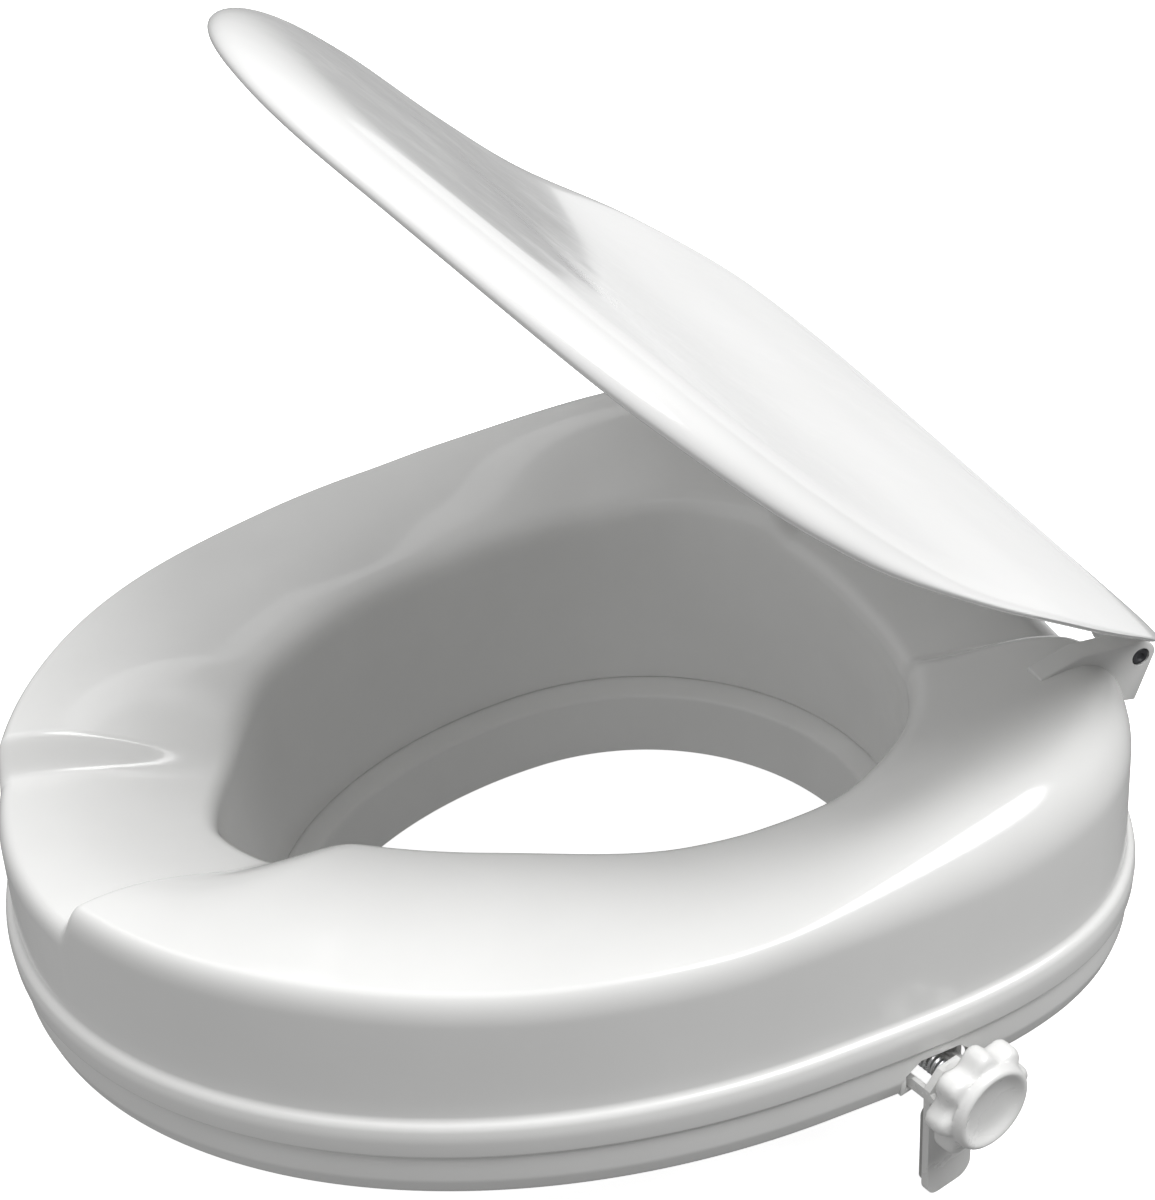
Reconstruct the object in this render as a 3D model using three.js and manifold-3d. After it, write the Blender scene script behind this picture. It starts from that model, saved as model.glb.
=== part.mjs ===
// Raised toilet seat with a hinged lid, a bowl spout and two screw clamps. Millimetres, +Z up.
// Origin: middle of the plane that rests on the bowl rim. Front is -Y, the user's left is +X.
import * as THREE from 'three';
import { mergeVertices } from 'three/addons/utils/BufferGeometryUtils.js';
import Module from 'manifold-3d';

const wasm = await Module();
wasm.setup();

const DEG = Math.PI / 180;
const GAP = 0.3;

// Plan outlines: half width, length in front of the centre, length behind it, roundness of each half.
const OUTER = { half: 182.5, front: 237, rear: 175, frontPower: 2.0, rearPower: 3.28, centre: 0 };
const SPOUT = { half: 101.3, front: 137, rear: 100, frontPower: 2.0, rearPower: 2.0, centre: 8 };
const MOUTH = { half: 105, front: 162, rear: 98, frontPower: 1.6, rearPower: 2.6, centre: 8 };

// Seat shell.
const SHELL = 3.2;
const SEAM_Z = 20;
const BEAD_INSET = 2.2;
const BEAD_Z = 27;
const BEAD_TOP_Z = 35;
const WALL_INSET = 6;
const SHELL_FOOT_Z = -9;
const PAD_Z = 85;
const FRONT_RISE = 4;
const REAR_RISE = 15;
const PAD_MOUTH_Z = 79;
const MOUTH_RISE = 5;
const FRONT_DIP_Z = 76;
const FRONT_DIP_OUTSIDE = [11 * DEG, 13.8 * DEG];
const FRONT_DIP_MOUTH = [9.5 * DEG, 25 * DEG];
const REAR_DIP_Z = 84;
const REAR_DIP_INNER = 25 * DEG;
const REAR_DIP_OUTER = 33 * DEG;

// Base ring: outer skirt and the plate that lies on the rubber pads.
const SKIRT = { outer: 4.4, inner: 7.6, fold: 10, foot: 0.5 };
const PLATE_Z = 6;
const PLATE = 3;

// Spout insert: collar inside the shell, ledge, and tube that hangs into the bowl.
const COLLAR = 3;
const COLLAR_GAP_FOOT = 0.8;
const COLLAR_GAP_TOP = 1.4;
const FLANGE = { reach: 6, thick: 1.8 };
const LEDGE = 9;
const LEDGE_Z = -13.5;
const SPOUT_Z = -43;
const SPOUT_WALL = 3;

// Rubber pads and base screws: angle round the ring, inset from the outline, size.
const PAD_PLACES = [
  ['front', -62 * DEG],
  ['mid', -14 * DEG],
  ['rear', 62 * DEG],
];
const PAD_INSET = 34;
const PAD_R = 9;
const BASE_SCREW_PLACES = [
  ['front', -42 * DEG],
  ['rear', 44 * DEG],
];
const BASE_SCREW_INSET = 30;

// Lid, drawn closed and then swung open about the hinge.
const HINGE = { y: 165, z: 95 };
const LID_OPEN = 42.6 * DEG;
const LID = { half: 175.5, front: 199, rear: 198, frontPower: 2.15, rearPower: 2.2, cut: 168, middle: 167 };
const LID_THICK = 3;
const EAR = { inner: 97.5, outer: 107, r: 6.2, web: 42, webRise: 4 };
const KNUCKLE = { inner: 84, outer: 96.8, r: 6 };
const PIN_R = 3.3;

// Clamps, drawn along +X from the middle of the seat and then turned to their place.
const CLAMP_TURN = 13.5 * DEG;
const SCREW_Z = 8;
const SCREW_R = 3.9;
const SCREW_TIP = 135;
const SCREW_END = 203;
const SCREW_TRAVEL_IN = 9;
const GUIDE = { inner: 140, outer: 178.5, wallOut: 14.4, wallIn: 11.8, bottom: 0.6, top: 17 };
const GUIDE_SCREW = { x: 157, side: 18.4 };
const NUT = { r: 6.5, inner: 146, outer: 152.5 };
const BRACKET = { inner: 185.5, outer: 188.5, half: 10.5, top: 13.5, shoulder: 6, bottom: -44.5,
  corner: 6, boss: 5, bossR: 6.2 };
const NOTCH = { half: 7.6, top: 15.2, side: 9 };
const ARM = { end: 144, bottom: 2.5, top: 4.9 };
const CUSHION = { thick: 2.5, half: 9.5, top: -4.5, bottom: -41, corner: 4 };
const KNOB = { back: 195.5, star: 9.5, starR: 19.3, lobe: 1.8, lobes: 8, face: 4, faceR: 16.2 };

const PLASTIC = { color: 0xf4f4f1, roughness: 0.22, metalness: 0 };
const CLAMP_PLASTIC = { color: 0xeeeeea, roughness: 0.32, metalness: 0 };
const RUBBER = { color: 0xb9bab8, roughness: 0.75, metalness: 0 };
const STEEL = { color: 0x9a9c9e, roughness: 0.35, metalness: 1 };
const PIN_PLASTIC = { color: 0x55575a, roughness: 0.5, metalness: 0 };

const group = new THREE.Group();
group.name = 'raised_toilet_seat';

function add(name, geometry, look) {
  const mesh = new THREE.Mesh(geometry, new THREE.MeshStandardMaterial(look));
  mesh.name = name;
  group.add(mesh);
}

// ---------- small maths ----------

function smooth(from, to, value) {
  const t = Math.min(1, Math.max(0, (value - from) / (to - from)));
  return t * t * (3 - 2 * t);
}

function mix(a, b, t) {
  return a + (b - a) * t;
}

/** Point of an outline in the direction `angle` from its own centre. */
function outlinePoint(shape, angle) {
  const c = Math.cos(angle);
  const s = Math.sin(angle);
  const power = s < 0 ? shape.frontPower : shape.rearPower;
  const length = s < 0 ? shape.front : shape.rear;
  const sum = Math.abs(c / shape.half) ** power + Math.abs(s / length) ** power;
  const r = sum ** (-1 / power);
  return new THREE.Vector2(r * c, shape.centre + r * s);
}

function bezier(p0, p1, p2, p3, count, skipFirst) {
  const curve = new THREE.CubicBezierCurve(p0, p1, p2, p3);
  const points = curve.getPoints(count);
  return skipFirst ? points.slice(1) : points;
}

/** Angle round the ring measured from straight ahead (front) or straight behind (rear). */
function angleFrom(angle, direction) {
  const turn = Math.abs(angle - direction) % (2 * Math.PI);
  return Math.min(turn, 2 * Math.PI - turn);
}

/** Angles of the cross-sections: coarse steps, finer where the pads end. */
function stationAngles(coarse, fine) {
  const angles = [];
  let a = 0;
  while (a < 360 - 1e-6) {
    angles.push(a * DEG);
    const nearDip = Math.abs(Math.abs(a - 270) - 12.5) < 2.5;
    const nearEar = Math.abs(Math.abs(a - 90) - 31) < 6;
    a += nearDip || nearEar ? fine : coarse;
  }
  return angles;
}

/** Frame of one cross-section: start point on the outline, inward direction and key distances. */
function station(angle) {
  const start = outlinePoint(OUTER, angle);
  const mouth = outlinePoint(MOUTH, angle);
  const spout = outlinePoint(SPOUT, angle);
  const inward = mouth.clone().sub(start).normalize();
  const toMouth = mouth.clone().sub(start).dot(inward);
  const toSpout = spout.clone().sub(start).dot(inward);
  return { angle, start, inward, toMouth, toSpout, toLedge: toSpout - LEDGE };
}

/** Closed ring swept round the aperture: section(station) gives a closed loop of (inset, height). */
function ringSolid(angles, section) {
  const positions = [];
  const indices = [];
  let size = 0;
  for (const angle of angles) {
    const place = station(angle);
    const loop = section(place);
    size = loop.length;
    for (const p of loop) {
      positions.push(place.start.x + place.inward.x * p.x, place.start.y + place.inward.y * p.x, p.y);
    }
  }
  for (let i = 0; i < angles.length; i += 1) {
    const next = (i + 1) % angles.length;
    for (let j = 0; j < size; j += 1) {
      const k = (j + 1) % size;
      indices.push(i * size + j, next * size + j, next * size + k);
      indices.push(i * size + j, next * size + k, i * size + k);
    }
  }
  const geometry = new THREE.BufferGeometry();
  geometry.setAttribute('position', new THREE.Float32BufferAttribute(positions, 3));
  geometry.setIndex(indices);
  return geometry;
}

// ---------- manifold booleans ----------

function toManifold(geometry) {
  const bare = geometry.clone();
  bare.deleteAttribute('normal');
  bare.deleteAttribute('uv');
  const merged = mergeVertices(bare, 1e-4);
  const mesh = new wasm.Mesh({
    numProp: 3,
    vertProperties: Float32Array.from(merged.attributes.position.array),
    triVerts: Uint32Array.from(merged.index.array),
  });
  mesh.merge();
  return new wasm.Manifold(mesh);
}

function fromManifold(solid) {
  const mesh = solid.getMesh();
  const geometry = new THREE.BufferGeometry();
  geometry.setAttribute('position', new THREE.Float32BufferAttribute(mesh.vertProperties, 3));
  geometry.setIndex(Array.from(mesh.triVerts));
  return geometry;
}

function combine(base, added, removed) {
  let solid = toManifold(base);
  for (const item of added) solid = solid.add(toManifold(item));
  for (const item of removed) solid = solid.subtract(toManifold(item));
  return fromManifold(solid);
}

// ---------- simple shapes ----------

function block(x0, x1, y0, y1, z0, z1) {
  const geometry = new THREE.BoxGeometry(x1 - x0, y1 - y0, z1 - z0);
  return geometry.translate((x0 + x1) / 2, (y0 + y1) / 2, (z0 + z1) / 2);
}

/** Cylinder along X. */
function rodX(r, x0, x1, y, z, sides = 24) {
  const geometry = new THREE.CylinderGeometry(r, r, x1 - x0, sides);
  return geometry.rotateZ(Math.PI / 2).translate((x0 + x1) / 2, y, z);
}

/** Cylinder along Z. */
function rodZ(r, x, y, z0, z1, sides = 20) {
  const geometry = new THREE.CylinderGeometry(r, r, z1 - z0, sides);
  return geometry.rotateX(Math.PI / 2).translate(x, y, (z0 + z1) / 2);
}

/** Flat outline in the YZ plane pushed along X. Shape x is Y, shape y is Z. */
function plateX(shape, x0, x1, segments = 6) {
  const geometry = new THREE.ExtrudeGeometry(shape, {
    depth: x1 - x0,
    bevelEnabled: false,
    curveSegments: segments,
  });
  const axes = new THREE.Matrix4().set(0, 0, 1, x0, 1, 0, 0, 0, 0, 1, 0, 0, 0, 0, 0, 1);
  return geometry.applyMatrix4(axes);
}

function mirrored(geometry) {
  const flipped = geometry.index ? geometry.toNonIndexed() : geometry.clone();
  flipped.scale(-1, 1, 1);
  const position = flipped.attributes.position;
  const order = [];
  for (let i = 0; i < position.count; i += 3) order.push(i, i + 2, i + 1);
  flipped.setIndex(order);
  flipped.deleteAttribute('normal');
  return mergeVertices(flipped.toNonIndexed(), 1e-4);
}

/** The same piece on both sides. The geometry is drawn on the +X side. */
function addPair(name, geometry, look) {
  add(`${name}_left`, geometry, look);
  add(`${name}_right`, mirrored(geometry), look);
}

/** A clamp piece, drawn along +X, in its place on both sides. */
function addClampPair(name, geometry, look) {
  addPair(name, geometry.rotateZ(CLAMP_TURN), look);
}

// ---------- seat shell ----------

/** How much of the front dip (0 to 1) a cross-section has, for a side that starts and ends at `span`. */
function frontDip(angle, span) {
  return 1 - smooth(span[0], span[1], angleFrom(angle, 270 * DEG));
}

function rearDip(angle) {
  return 1 - smooth(REAR_DIP_INNER, REAR_DIP_OUTER, angleFrom(angle, 90 * DEG));
}

/** Heights and insets that shape the seat's top at one cross-section. */
function topShape(place) {
  const y = place.start.y;
  const front = frontDip(place.angle, FRONT_DIP_OUTSIDE);
  const frontMouth = frontDip(place.angle, FRONT_DIP_MOUTH);
  const rear = rearDip(place.angle);
  const padCrest = PAD_Z + FRONT_RISE * smooth(-90, -190, y) + REAR_RISE * smooth(-40, 105, y);
  const wide = smooth(-20, 90, y);
  const padMouth = PAD_MOUTH_Z + MOUTH_RISE * (smooth(-40, -150, y) + smooth(50, 120, y));
  return {
    crestZ: mix(mix(padCrest, FRONT_DIP_Z, front), REAR_DIP_Z, rear),
    crestInset: 13 + 15 * wide,
    shoulder: mix(12 + 12 * wide, 9, front),
    mouthZ: mix(mix(padMouth, 63, frontMouth), 77, rear),
    mouthRound: mix(mix(9, 6, frontMouth), 6, rear),
    mouthSlope: mix(0.32, 0.2, Math.max(front, rear)),
  };
}

/** Control points of the top's curve from the crest down to the mouth's edge. */
function topBend(place) {
  const top = topShape(place);
  const crest = new THREE.Vector2(top.crestInset, top.crestZ);
  const lip = new THREE.Vector2(place.toMouth - top.mouthRound, top.mouthZ);
  const run = (lip.x - crest.x) * 0.38;
  const first = new THREE.Vector2(crest.x + run, crest.y);
  const second = new THREE.Vector2(lip.x - run, lip.y + run * top.mouthSlope);
  return [crest, first, second, lip];
}

/** Outside line of the shell from the seam, over the top and down the mouth. */
function shellLine(place) {
  const top = topShape(place);
  const shoulderZ = top.crestZ - top.shoulder;
  const wallTop = new THREE.Vector2(WALL_INSET + 1, shoulderZ);
  const crest = new THREE.Vector2(top.crestInset, top.crestZ);
  const bend = topBend(place);
  const lip = bend[3];
  const drop = new THREE.Vector2(place.toMouth, top.mouthZ - top.mouthRound * 1.3);
  const bulge = 0.552;
  return [
    new THREE.Vector2(BEAD_INSET + 2.4, SEAM_Z),
    new THREE.Vector2(BEAD_INSET + 0.6, SEAM_Z + 2.6),
    new THREE.Vector2(BEAD_INSET, BEAD_Z),
    new THREE.Vector2(BEAD_INSET + 1, BEAD_Z + 4.4),
    new THREE.Vector2(WALL_INSET - 0.8, BEAD_TOP_Z - 1),
    new THREE.Vector2(WALL_INSET, BEAD_TOP_Z + 1.5),
    ...bezier(
      wallTop,
      new THREE.Vector2(wallTop.x, mix(shoulderZ, top.crestZ, bulge)),
      new THREE.Vector2(mix(crest.x, wallTop.x, bulge), top.crestZ),
      crest,
      4,
      false,
    ),
    ...bezier(...bend, 3, true),
    ...bezier(
      lip,
      new THREE.Vector2(mix(lip.x, drop.x, bulge), lip.y - (drop.x - lip.x) * bulge * top.mouthSlope),
      new THREE.Vector2(drop.x, mix(drop.y, lip.y, bulge)),
      drop,
      3,
      true,
    ),
    new THREE.Vector2(place.toLedge, SHELL_FOOT_Z),
  ];
}

/** Line moved sideways by the wall thickness, towards the hollow side. */
function thicken(line, thickness) {
  return line.map((point, i) => {
    const before = line[Math.max(0, i - 1)];
    const after = line[Math.min(line.length - 1, i + 1)];
    const along = after.clone().sub(before).normalize();
    return new THREE.Vector2(point.x + along.y * thickness, point.y - along.x * thickness);
  });
}

/** Hollow side of the shell, from the seam to the foot of the mouth wall. */
function shellHollowLine(place) {
  const inner = thicken(shellLine(place), SHELL);
  inner[0].y = SEAM_Z;
  inner[inner.length - 1].y = SHELL_FOOT_Z;
  return inner;
}

function shellSection(place) {
  return [...shellLine(place), ...shellHollowLine(place).reverse()];
}

/** Hinge ear: a round boss at the pin on a web that runs down into the shell's corner. */
function ear() {
  const shape = new THREE.Shape();
  const top = HINGE.z + EAR.r;
  shape.moveTo(HINGE.y - EAR.web, REAR_DIP_Z);
  shape.lineTo(HINGE.y - 9, 78);
  shape.lineTo(HINGE.y - 1, 76);
  shape.lineTo(HINGE.y + EAR.r, HINGE.z);
  shape.absarc(HINGE.y, HINGE.z, EAR.r, 0, Math.PI / 2, false);
  shape.lineTo(HINGE.y - EAR.web * 0.6, top + EAR.webRise * 0.6);
  shape.lineTo(HINGE.y - EAR.web, top - 2);
  return plateX(shape, EAR.inner, EAR.outer, 10);
}

function seatShell(angles) {
  const ears = [ear(), mirrored(ear())];
  const bore = rodX(PIN_R + GAP, EAR.inner - 1, EAR.outer + 1, HINGE.y, HINGE.z);
  return combine(ringSolid(angles, shellSection), ears, [bore, mirrored(bore)]);
}

// ---------- base ring ----------

/** Inset of the hidden side of the shell's mouth wall at a height near its foot. */
function mouthWallAt(place, z) {
  const inner = shellHollowLine(place);
  const foot = inner[inner.length - 1];
  const above = inner[inner.length - 2];
  return mix(foot.x, above.x, (z - foot.y) / (above.y - foot.y));
}

/** Insets of the spout's collar: inner face at its foot and top, and its outer face. */
function collarAt(place) {
  const foot = mouthWallAt(place, SHELL_FOOT_Z) - COLLAR_GAP_FOOT;
  const top = mouthWallAt(place, PLATE_Z + PLATE) - COLLAR_GAP_TOP;
  return { foot, top, outer: Math.min(foot, top) - COLLAR };
}

function toPoints(pairs) {
  return pairs.map(([x, y]) => new THREE.Vector2(x, y));
}

/** Skirt with its folded bottom edge, and the plate inside it. */
function baseSection(place) {
  const plateEnd = collarAt(place).outer - GAP;
  const top = PLATE_Z + PLATE;
  return toPoints([
    [SKIRT.inner, SEAM_Z - GAP],
    [SKIRT.inner, top],
    [plateEnd, top],
    [plateEnd, PLATE_Z],
    [SKIRT.fold, PLATE_Z],
    [SKIRT.fold, SKIRT.foot],
    [SKIRT.fold - 3, SKIRT.foot],
    [SKIRT.fold - 4, SKIRT.foot + 1.9],
    [SKIRT.outer, SKIRT.foot + 7.5],
    [SKIRT.outer, SEAM_Z - GAP],
  ]);
}

/** Collar behind the shell's mouth wall, flange under the plate, ledge and spout tube. */
function spoutSection(place) {
  const collar = collarAt(place);
  const ledgeTop = SHELL_FOOT_Z - GAP;
  const flangeTop = PLATE_Z - GAP;
  return toPoints([
    [collar.top, PLATE_Z + PLATE],
    [collar.foot, ledgeTop],
    [place.toLedge + 0.4, ledgeTop],
    [place.toSpout, LEDGE_Z],
    [place.toSpout, SPOUT_Z],
    [place.toSpout - SPOUT_WALL, SPOUT_Z],
    [place.toSpout - SPOUT_WALL, LEDGE_Z - 4],
    [collar.outer, LEDGE_Z],
    [collar.outer, flangeTop - FLANGE.thick],
    [collar.outer - FLANGE.reach, flangeTop - FLANGE.thick],
    [collar.outer - FLANGE.reach, flangeTop],
    [collar.outer, flangeTop],
    [collar.outer, PLATE_Z + PLATE],
  ]);
}

/** Openings in the base ring for one clamp: the guide, the screw's slot and two screw holes. */
/** Opening in the skirt that the bracket's top passes through. */
function skirtNotch(half) {
  const shape = new THREE.Shape();
  shape.moveTo(-half, -1);
  shape.lineTo(half, -1);
  shape.lineTo(half, NOTCH.side);
  shape.lineTo(NOTCH.half, NOTCH.top);
  shape.lineTo(-NOTCH.half, NOTCH.top);
  shape.lineTo(-half, NOTCH.side);
  return shape;
}

function clampCuts() {
  const half = GUIDE.wallOut + 0.4;
  const slot = SCREW_R + 1.1;
  const x0 = SCREW_TIP - SCREW_TRAVEL_IN;
  const below = PLATE_Z - 1;
  const above = PLATE_Z + PLATE + 1;
  const cuts = [
    block(GUIDE.inner - 0.4, GUIDE.outer + 0.4, -half, half, -1, GUIDE.top + 0.4),
    plateX(skirtNotch(half), GUIDE.outer - 6, BRACKET.outer + 10),
    block(x0, GUIDE.inner, -slot, slot, below, above),
    rodZ(2, GUIDE_SCREW.x, -GUIDE_SCREW.side, below, above, 12),
    rodZ(2, GUIDE_SCREW.x, GUIDE_SCREW.side, below, above, 12),
  ];
  return cuts.map((cut) => cut.rotateZ(CLAMP_TURN));
}

function onRing(angle, inset) {
  const place = station(angle);
  return place.start.clone().addScaledVector(place.inward, inset);
}

function baseRing(angles) {
  const cuts = [...clampCuts(), ...clampCuts().map(mirrored)];
  for (const [, angle] of BASE_SCREW_PLACES) {
    const p = onRing(angle, BASE_SCREW_INSET);
    const hole = rodZ(2.2, p.x, p.y, PLATE_Z - 1, PLATE_Z + PLATE + 1, 12);
    cuts.push(hole, mirrored(hole));
  }
  return combine(ringSolid(angles, baseSection), [], cuts);
}

/** Round rubber foot under the base plate, with a domed edge. */
function rimPad(p) {
  const profile = [
    new THREE.Vector2(0, 0),
    new THREE.Vector2(PAD_R - 1.5, 0),
    new THREE.Vector2(PAD_R, 1.5),
    new THREE.Vector2(PAD_R, PLATE_Z - GAP),
    new THREE.Vector2(0, PLATE_Z - GAP),
  ];
  return new THREE.LatheGeometry(profile, 20).rotateX(Math.PI / 2).translate(p.x, p.y, 0);
}

/** Pan-head screw driven upwards: head below `seatZ`, shank above it. */
function panScrew(x, y, seatZ, r, headR, length) {
  const profile = [
    new THREE.Vector2(0, -2.4),
    new THREE.Vector2(headR * 0.6, -2.1),
    new THREE.Vector2(headR, -0.9),
    new THREE.Vector2(headR, -GAP),
    new THREE.Vector2(r, -GAP),
    new THREE.Vector2(r, length - 1),
    new THREE.Vector2(0, length),
  ];
  return new THREE.LatheGeometry(profile, 12).rotateX(Math.PI / 2).translate(x, y, seatZ);
}

// ---------- lid ----------

/** Smooth curve through a few (position, height) pairs. */
function heightCurve(knots) {
  return (at) => {
    const last = knots.length - 1;
    let i = 0;
    while (i < last - 1 && at > knots[i + 1][0]) i += 1;
    const [x0, y0] = knots[i];
    const [x1, y1] = knots[i + 1];
    const before = knots[Math.max(0, i - 1)];
    const after = knots[Math.min(last, i + 2)];
    const slope0 = (y1 - before[1]) / (x1 - before[0]);
    const slope1 = (after[1] - y0) / (after[0] - x0);
    const span = x1 - x0;
    const t = (at - x0) / span;
    const h00 = 2 * t ** 3 - 3 * t ** 2 + 1;
    const h10 = t ** 3 - 2 * t ** 2 + t;
    const h01 = -2 * t ** 3 + 3 * t ** 2;
    const h11 = t ** 3 - t ** 2;
    return h00 * y0 + h10 * span * slope0 + h01 * y1 + h11 * span * slope1;
  };
}

// Height of the lid's panel above the hinge, by distance in front of the hinge.
const lidPanel = heightCurve([
  [-5, 10.5],
  [30, 13.5],
  [60, 14],
  [105, 9.5],
  [160, 2],
  [216, 2],
  [275, 6],
  [345, 8.5],
  [380, 5],
]);

// How far the lid's rim turns down below the panel, by the same distance.
const lidDrop = heightCurve([
  [-5, 1],
  [60, 1.5],
  [150, 3],
  [200, 8.5],
  [275, 13],
  [345, 11.5],
  [380, 10],
]);

/** Outline of the closed lid: x, and distance in front of the hinge. */
function lidOutline(angle) {
  const c = Math.cos(angle);
  const s = Math.sin(angle);
  const power = s < 0 ? LID.frontPower : LID.rearPower;
  const length = s < 0 ? LID.front : LID.rear;
  const r = (Math.abs(c / LID.half) ** power + Math.abs(s / length) ** power) ** (-1 / power);
  const reach = s > 0 ? Math.min(r, LID.cut / s) : r;
  return new THREE.Vector2(reach * c, LID.middle - reach * s);
}

/** Top surface height of the closed lid at a share k (0 centre, 1 edge) of the way out. */
function lidTop(k, along) {
  const edge = Math.max(0, (k - 0.86) / 0.14);
  return lidPanel(along) - lidDrop(along) * (1 - Math.sqrt(1 - edge * edge));
}

/** Share (0 centre, 1 edge) of a point on the closed lid. */
function lidShare(x, along) {
  const angle = Math.atan2(LID.middle - along, x);
  const edge = lidOutline(angle);
  return Math.hypot(x, LID.middle - along) / Math.hypot(edge.x, LID.middle - edge.y);
}

function lidShell(count) {
  const shares = [0, 0.25, 0.5, 0.72, 0.86, 0.93, 0.975, 1];
  const rows = [];
  for (const k of shares) rows.push([k, 0]);
  for (const k of shares.slice().reverse()) rows.push([Math.min(k, 0.984), LID_THICK]);
  const positions = [];
  const rowStart = [];
  for (const [k, under] of rows) {
    rowStart.push(positions.length / 3);
    const ring = k === 0 ? 1 : count;
    for (let i = 0; i < ring; i += 1) {
      const edge = lidOutline((i / count) * 2 * Math.PI);
      const x = edge.x * k;
      const along = mix(LID.middle, edge.y, k);
      const lift = k > 0.98 ? lidTop(1, along) : lidTop(k, along) - under;
      positions.push(x, HINGE.y - along, HINGE.z + lift);
    }
  }
  const indices = [];
  for (let r = 0; r + 1 < rows.length; r += 1) {
    const a = rowStart[r];
    const b = rowStart[r + 1];
    const aPole = rows[r][0] === 0;
    const bPole = rows[r + 1][0] === 0;
    if (aPole && bPole) continue;
    for (let i = 0; i < count; i += 1) {
      const j = (i + 1) % count;
      if (aPole) indices.push(a, b + i, b + j);
      else if (bPole) indices.push(a + i, b, a + j);
      else indices.push(a + i, b + i, b + j, a + i, b + j, a + j);
    }
  }
  const geometry = new THREE.BufferGeometry();
  geometry.setAttribute('position', new THREE.Float32BufferAttribute(positions, 3));
  geometry.setIndex(indices);
  return geometry;
}

/** Knuckle under the lid's rear edge that turns on the pin. */
function knuckle() {
  const shape = new THREE.Shape();
  shape.absarc(HINGE.y, HINGE.z, KNUCKLE.r, Math.PI, 2 * Math.PI, false);
  shape.lineTo(HINGE.y + 2.2, HINGE.z + 9.4);
  shape.lineTo(HINGE.y - 22, HINGE.z + 11.5);
  return plateX(shape, KNUCKLE.inner, KNUCKLE.outer, 8);
}

function lid() {
  const bore = rodX(PIN_R + GAP, KNUCKLE.inner - 1, KNUCKLE.outer + 1, HINGE.y, HINGE.z);
  return combine(lidShell(72), [knuckle(), mirrored(knuckle())], [bore, mirrored(bore)]);
}

function swingOpen(geometry) {
  return geometry
    .translate(0, -HINGE.y, -HINGE.z)
    .rotateX(-LID_OPEN)
    .translate(0, HINGE.y, HINGE.z);
}

/** Point on the seat's top, a share of the way from the crest to the mouth. */
function padPoint(angle, share) {
  const place = station(angle);
  const [crest, first, second, lip] = topBend(place);
  const p = new THREE.CubicBezierCurve(crest, first, second, lip).getPoint(share);
  const plan = place.start.clone().addScaledVector(place.inward, p.x);
  return new THREE.Vector3(plan.x, plan.y, p.y);
}

/** Soft domed buffer under the closed lid, just clear of the pad below it. */
function lidBuffer(angle, share) {
  const pad = padPoint(angle, share);
  const along = HINGE.y - pad.y;
  const radius = 5.4;
  const outer = lidShare(pad.x + radius, along);
  const under = Math.min(lidTop(outer, along - radius), lidTop(outer, along + radius));
  const top = HINGE.z + under - LID_THICK - 0.5;
  const low = pad.z + 0.5;
  const profile = [
    new THREE.Vector2(0, low),
    new THREE.Vector2(2, low + 0.8),
    new THREE.Vector2(3.6, low + 1.7),
    new THREE.Vector2(5, low + 3),
    new THREE.Vector2(radius, top),
    new THREE.Vector2(0, top),
  ];
  return new THREE.LatheGeometry(profile, 14).rotateX(Math.PI / 2).translate(pad.x, pad.y, 0);
}

/** Hinge pin with a domed head outside the ear. */
function hingePin() {
  const profile = [
    new THREE.Vector2(0, KNUCKLE.inner + 2),
    new THREE.Vector2(PIN_R - 0.6, KNUCKLE.inner + 2),
    new THREE.Vector2(PIN_R, KNUCKLE.inner + 2.6),
    new THREE.Vector2(PIN_R, EAR.outer - 0.5),
    new THREE.Vector2(PIN_R - 0.8, EAR.outer),
    new THREE.Vector2(0, EAR.outer),
  ];
  return new THREE.LatheGeometry(profile, 24).rotateZ(-Math.PI / 2).translate(0, HINGE.y, HINGE.z);
}

// ---------- clamps ----------

/** Channel under the seat that guides the bracket and holds the nut. */
function clampGuide() {
  const { inner, outer, wallOut, wallIn, bottom, top } = GUIDE;
  const body = block(inner, outer, -wallOut, wallOut, bottom, top);
  const reach = GUIDE_SCREW.side + 4;
  const flange = block(inner + 6, outer - 10, -reach, reach, PLATE_Z + PLATE + GAP, 11.5);
  const inside = block(NUT.outer + 5, outer + 5, -wallIn, wallIn, ARM.bottom - 0.4, top - 3);
  const armPath = block(inner - 6, outer - 15, -wallIn, wallIn, ARM.bottom - 0.4, ARM.top + 0.3);
  const slot = block(inner - 6, outer + 5, -8, 8, bottom - 1, 3);
  const nutPocket = hexX(NUT.r + 0.4, NUT.inner - GAP, NUT.outer + GAP);
  const nutDoor = block(NUT.inner - GAP, NUT.outer + GAP, -6.2, 6.2, bottom - 1, SCREW_Z);
  const bore = rodX(SCREW_R + 0.6, inner - 6, outer - 15, 0, SCREW_Z);
  const cuts = [inside, armPath, slot, nutPocket, nutDoor, bore];
  for (const side of [-1, 1]) cuts.push(rodZ(1.9, GUIDE_SCREW.x, side * GUIDE_SCREW.side, 8, 12, 12));
  return combine(body, [flange], cuts);
}

/** Hexagonal bar along X on the screw's axis; r is the corner radius. */
function hexX(r, x0, x1) {
  return rodX(r, x0, x1, 0, 0, 6).rotateX(Math.PI / 6).translate(0, 0, SCREW_Z);
}

function clampNut() {
  const bore = rodX(SCREW_R + GAP, NUT.inner - 2, NUT.outer + 2, 0, SCREW_Z);
  return combine(hexX(NUT.r, NUT.inner, NUT.outer), [], [bore]);
}

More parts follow.
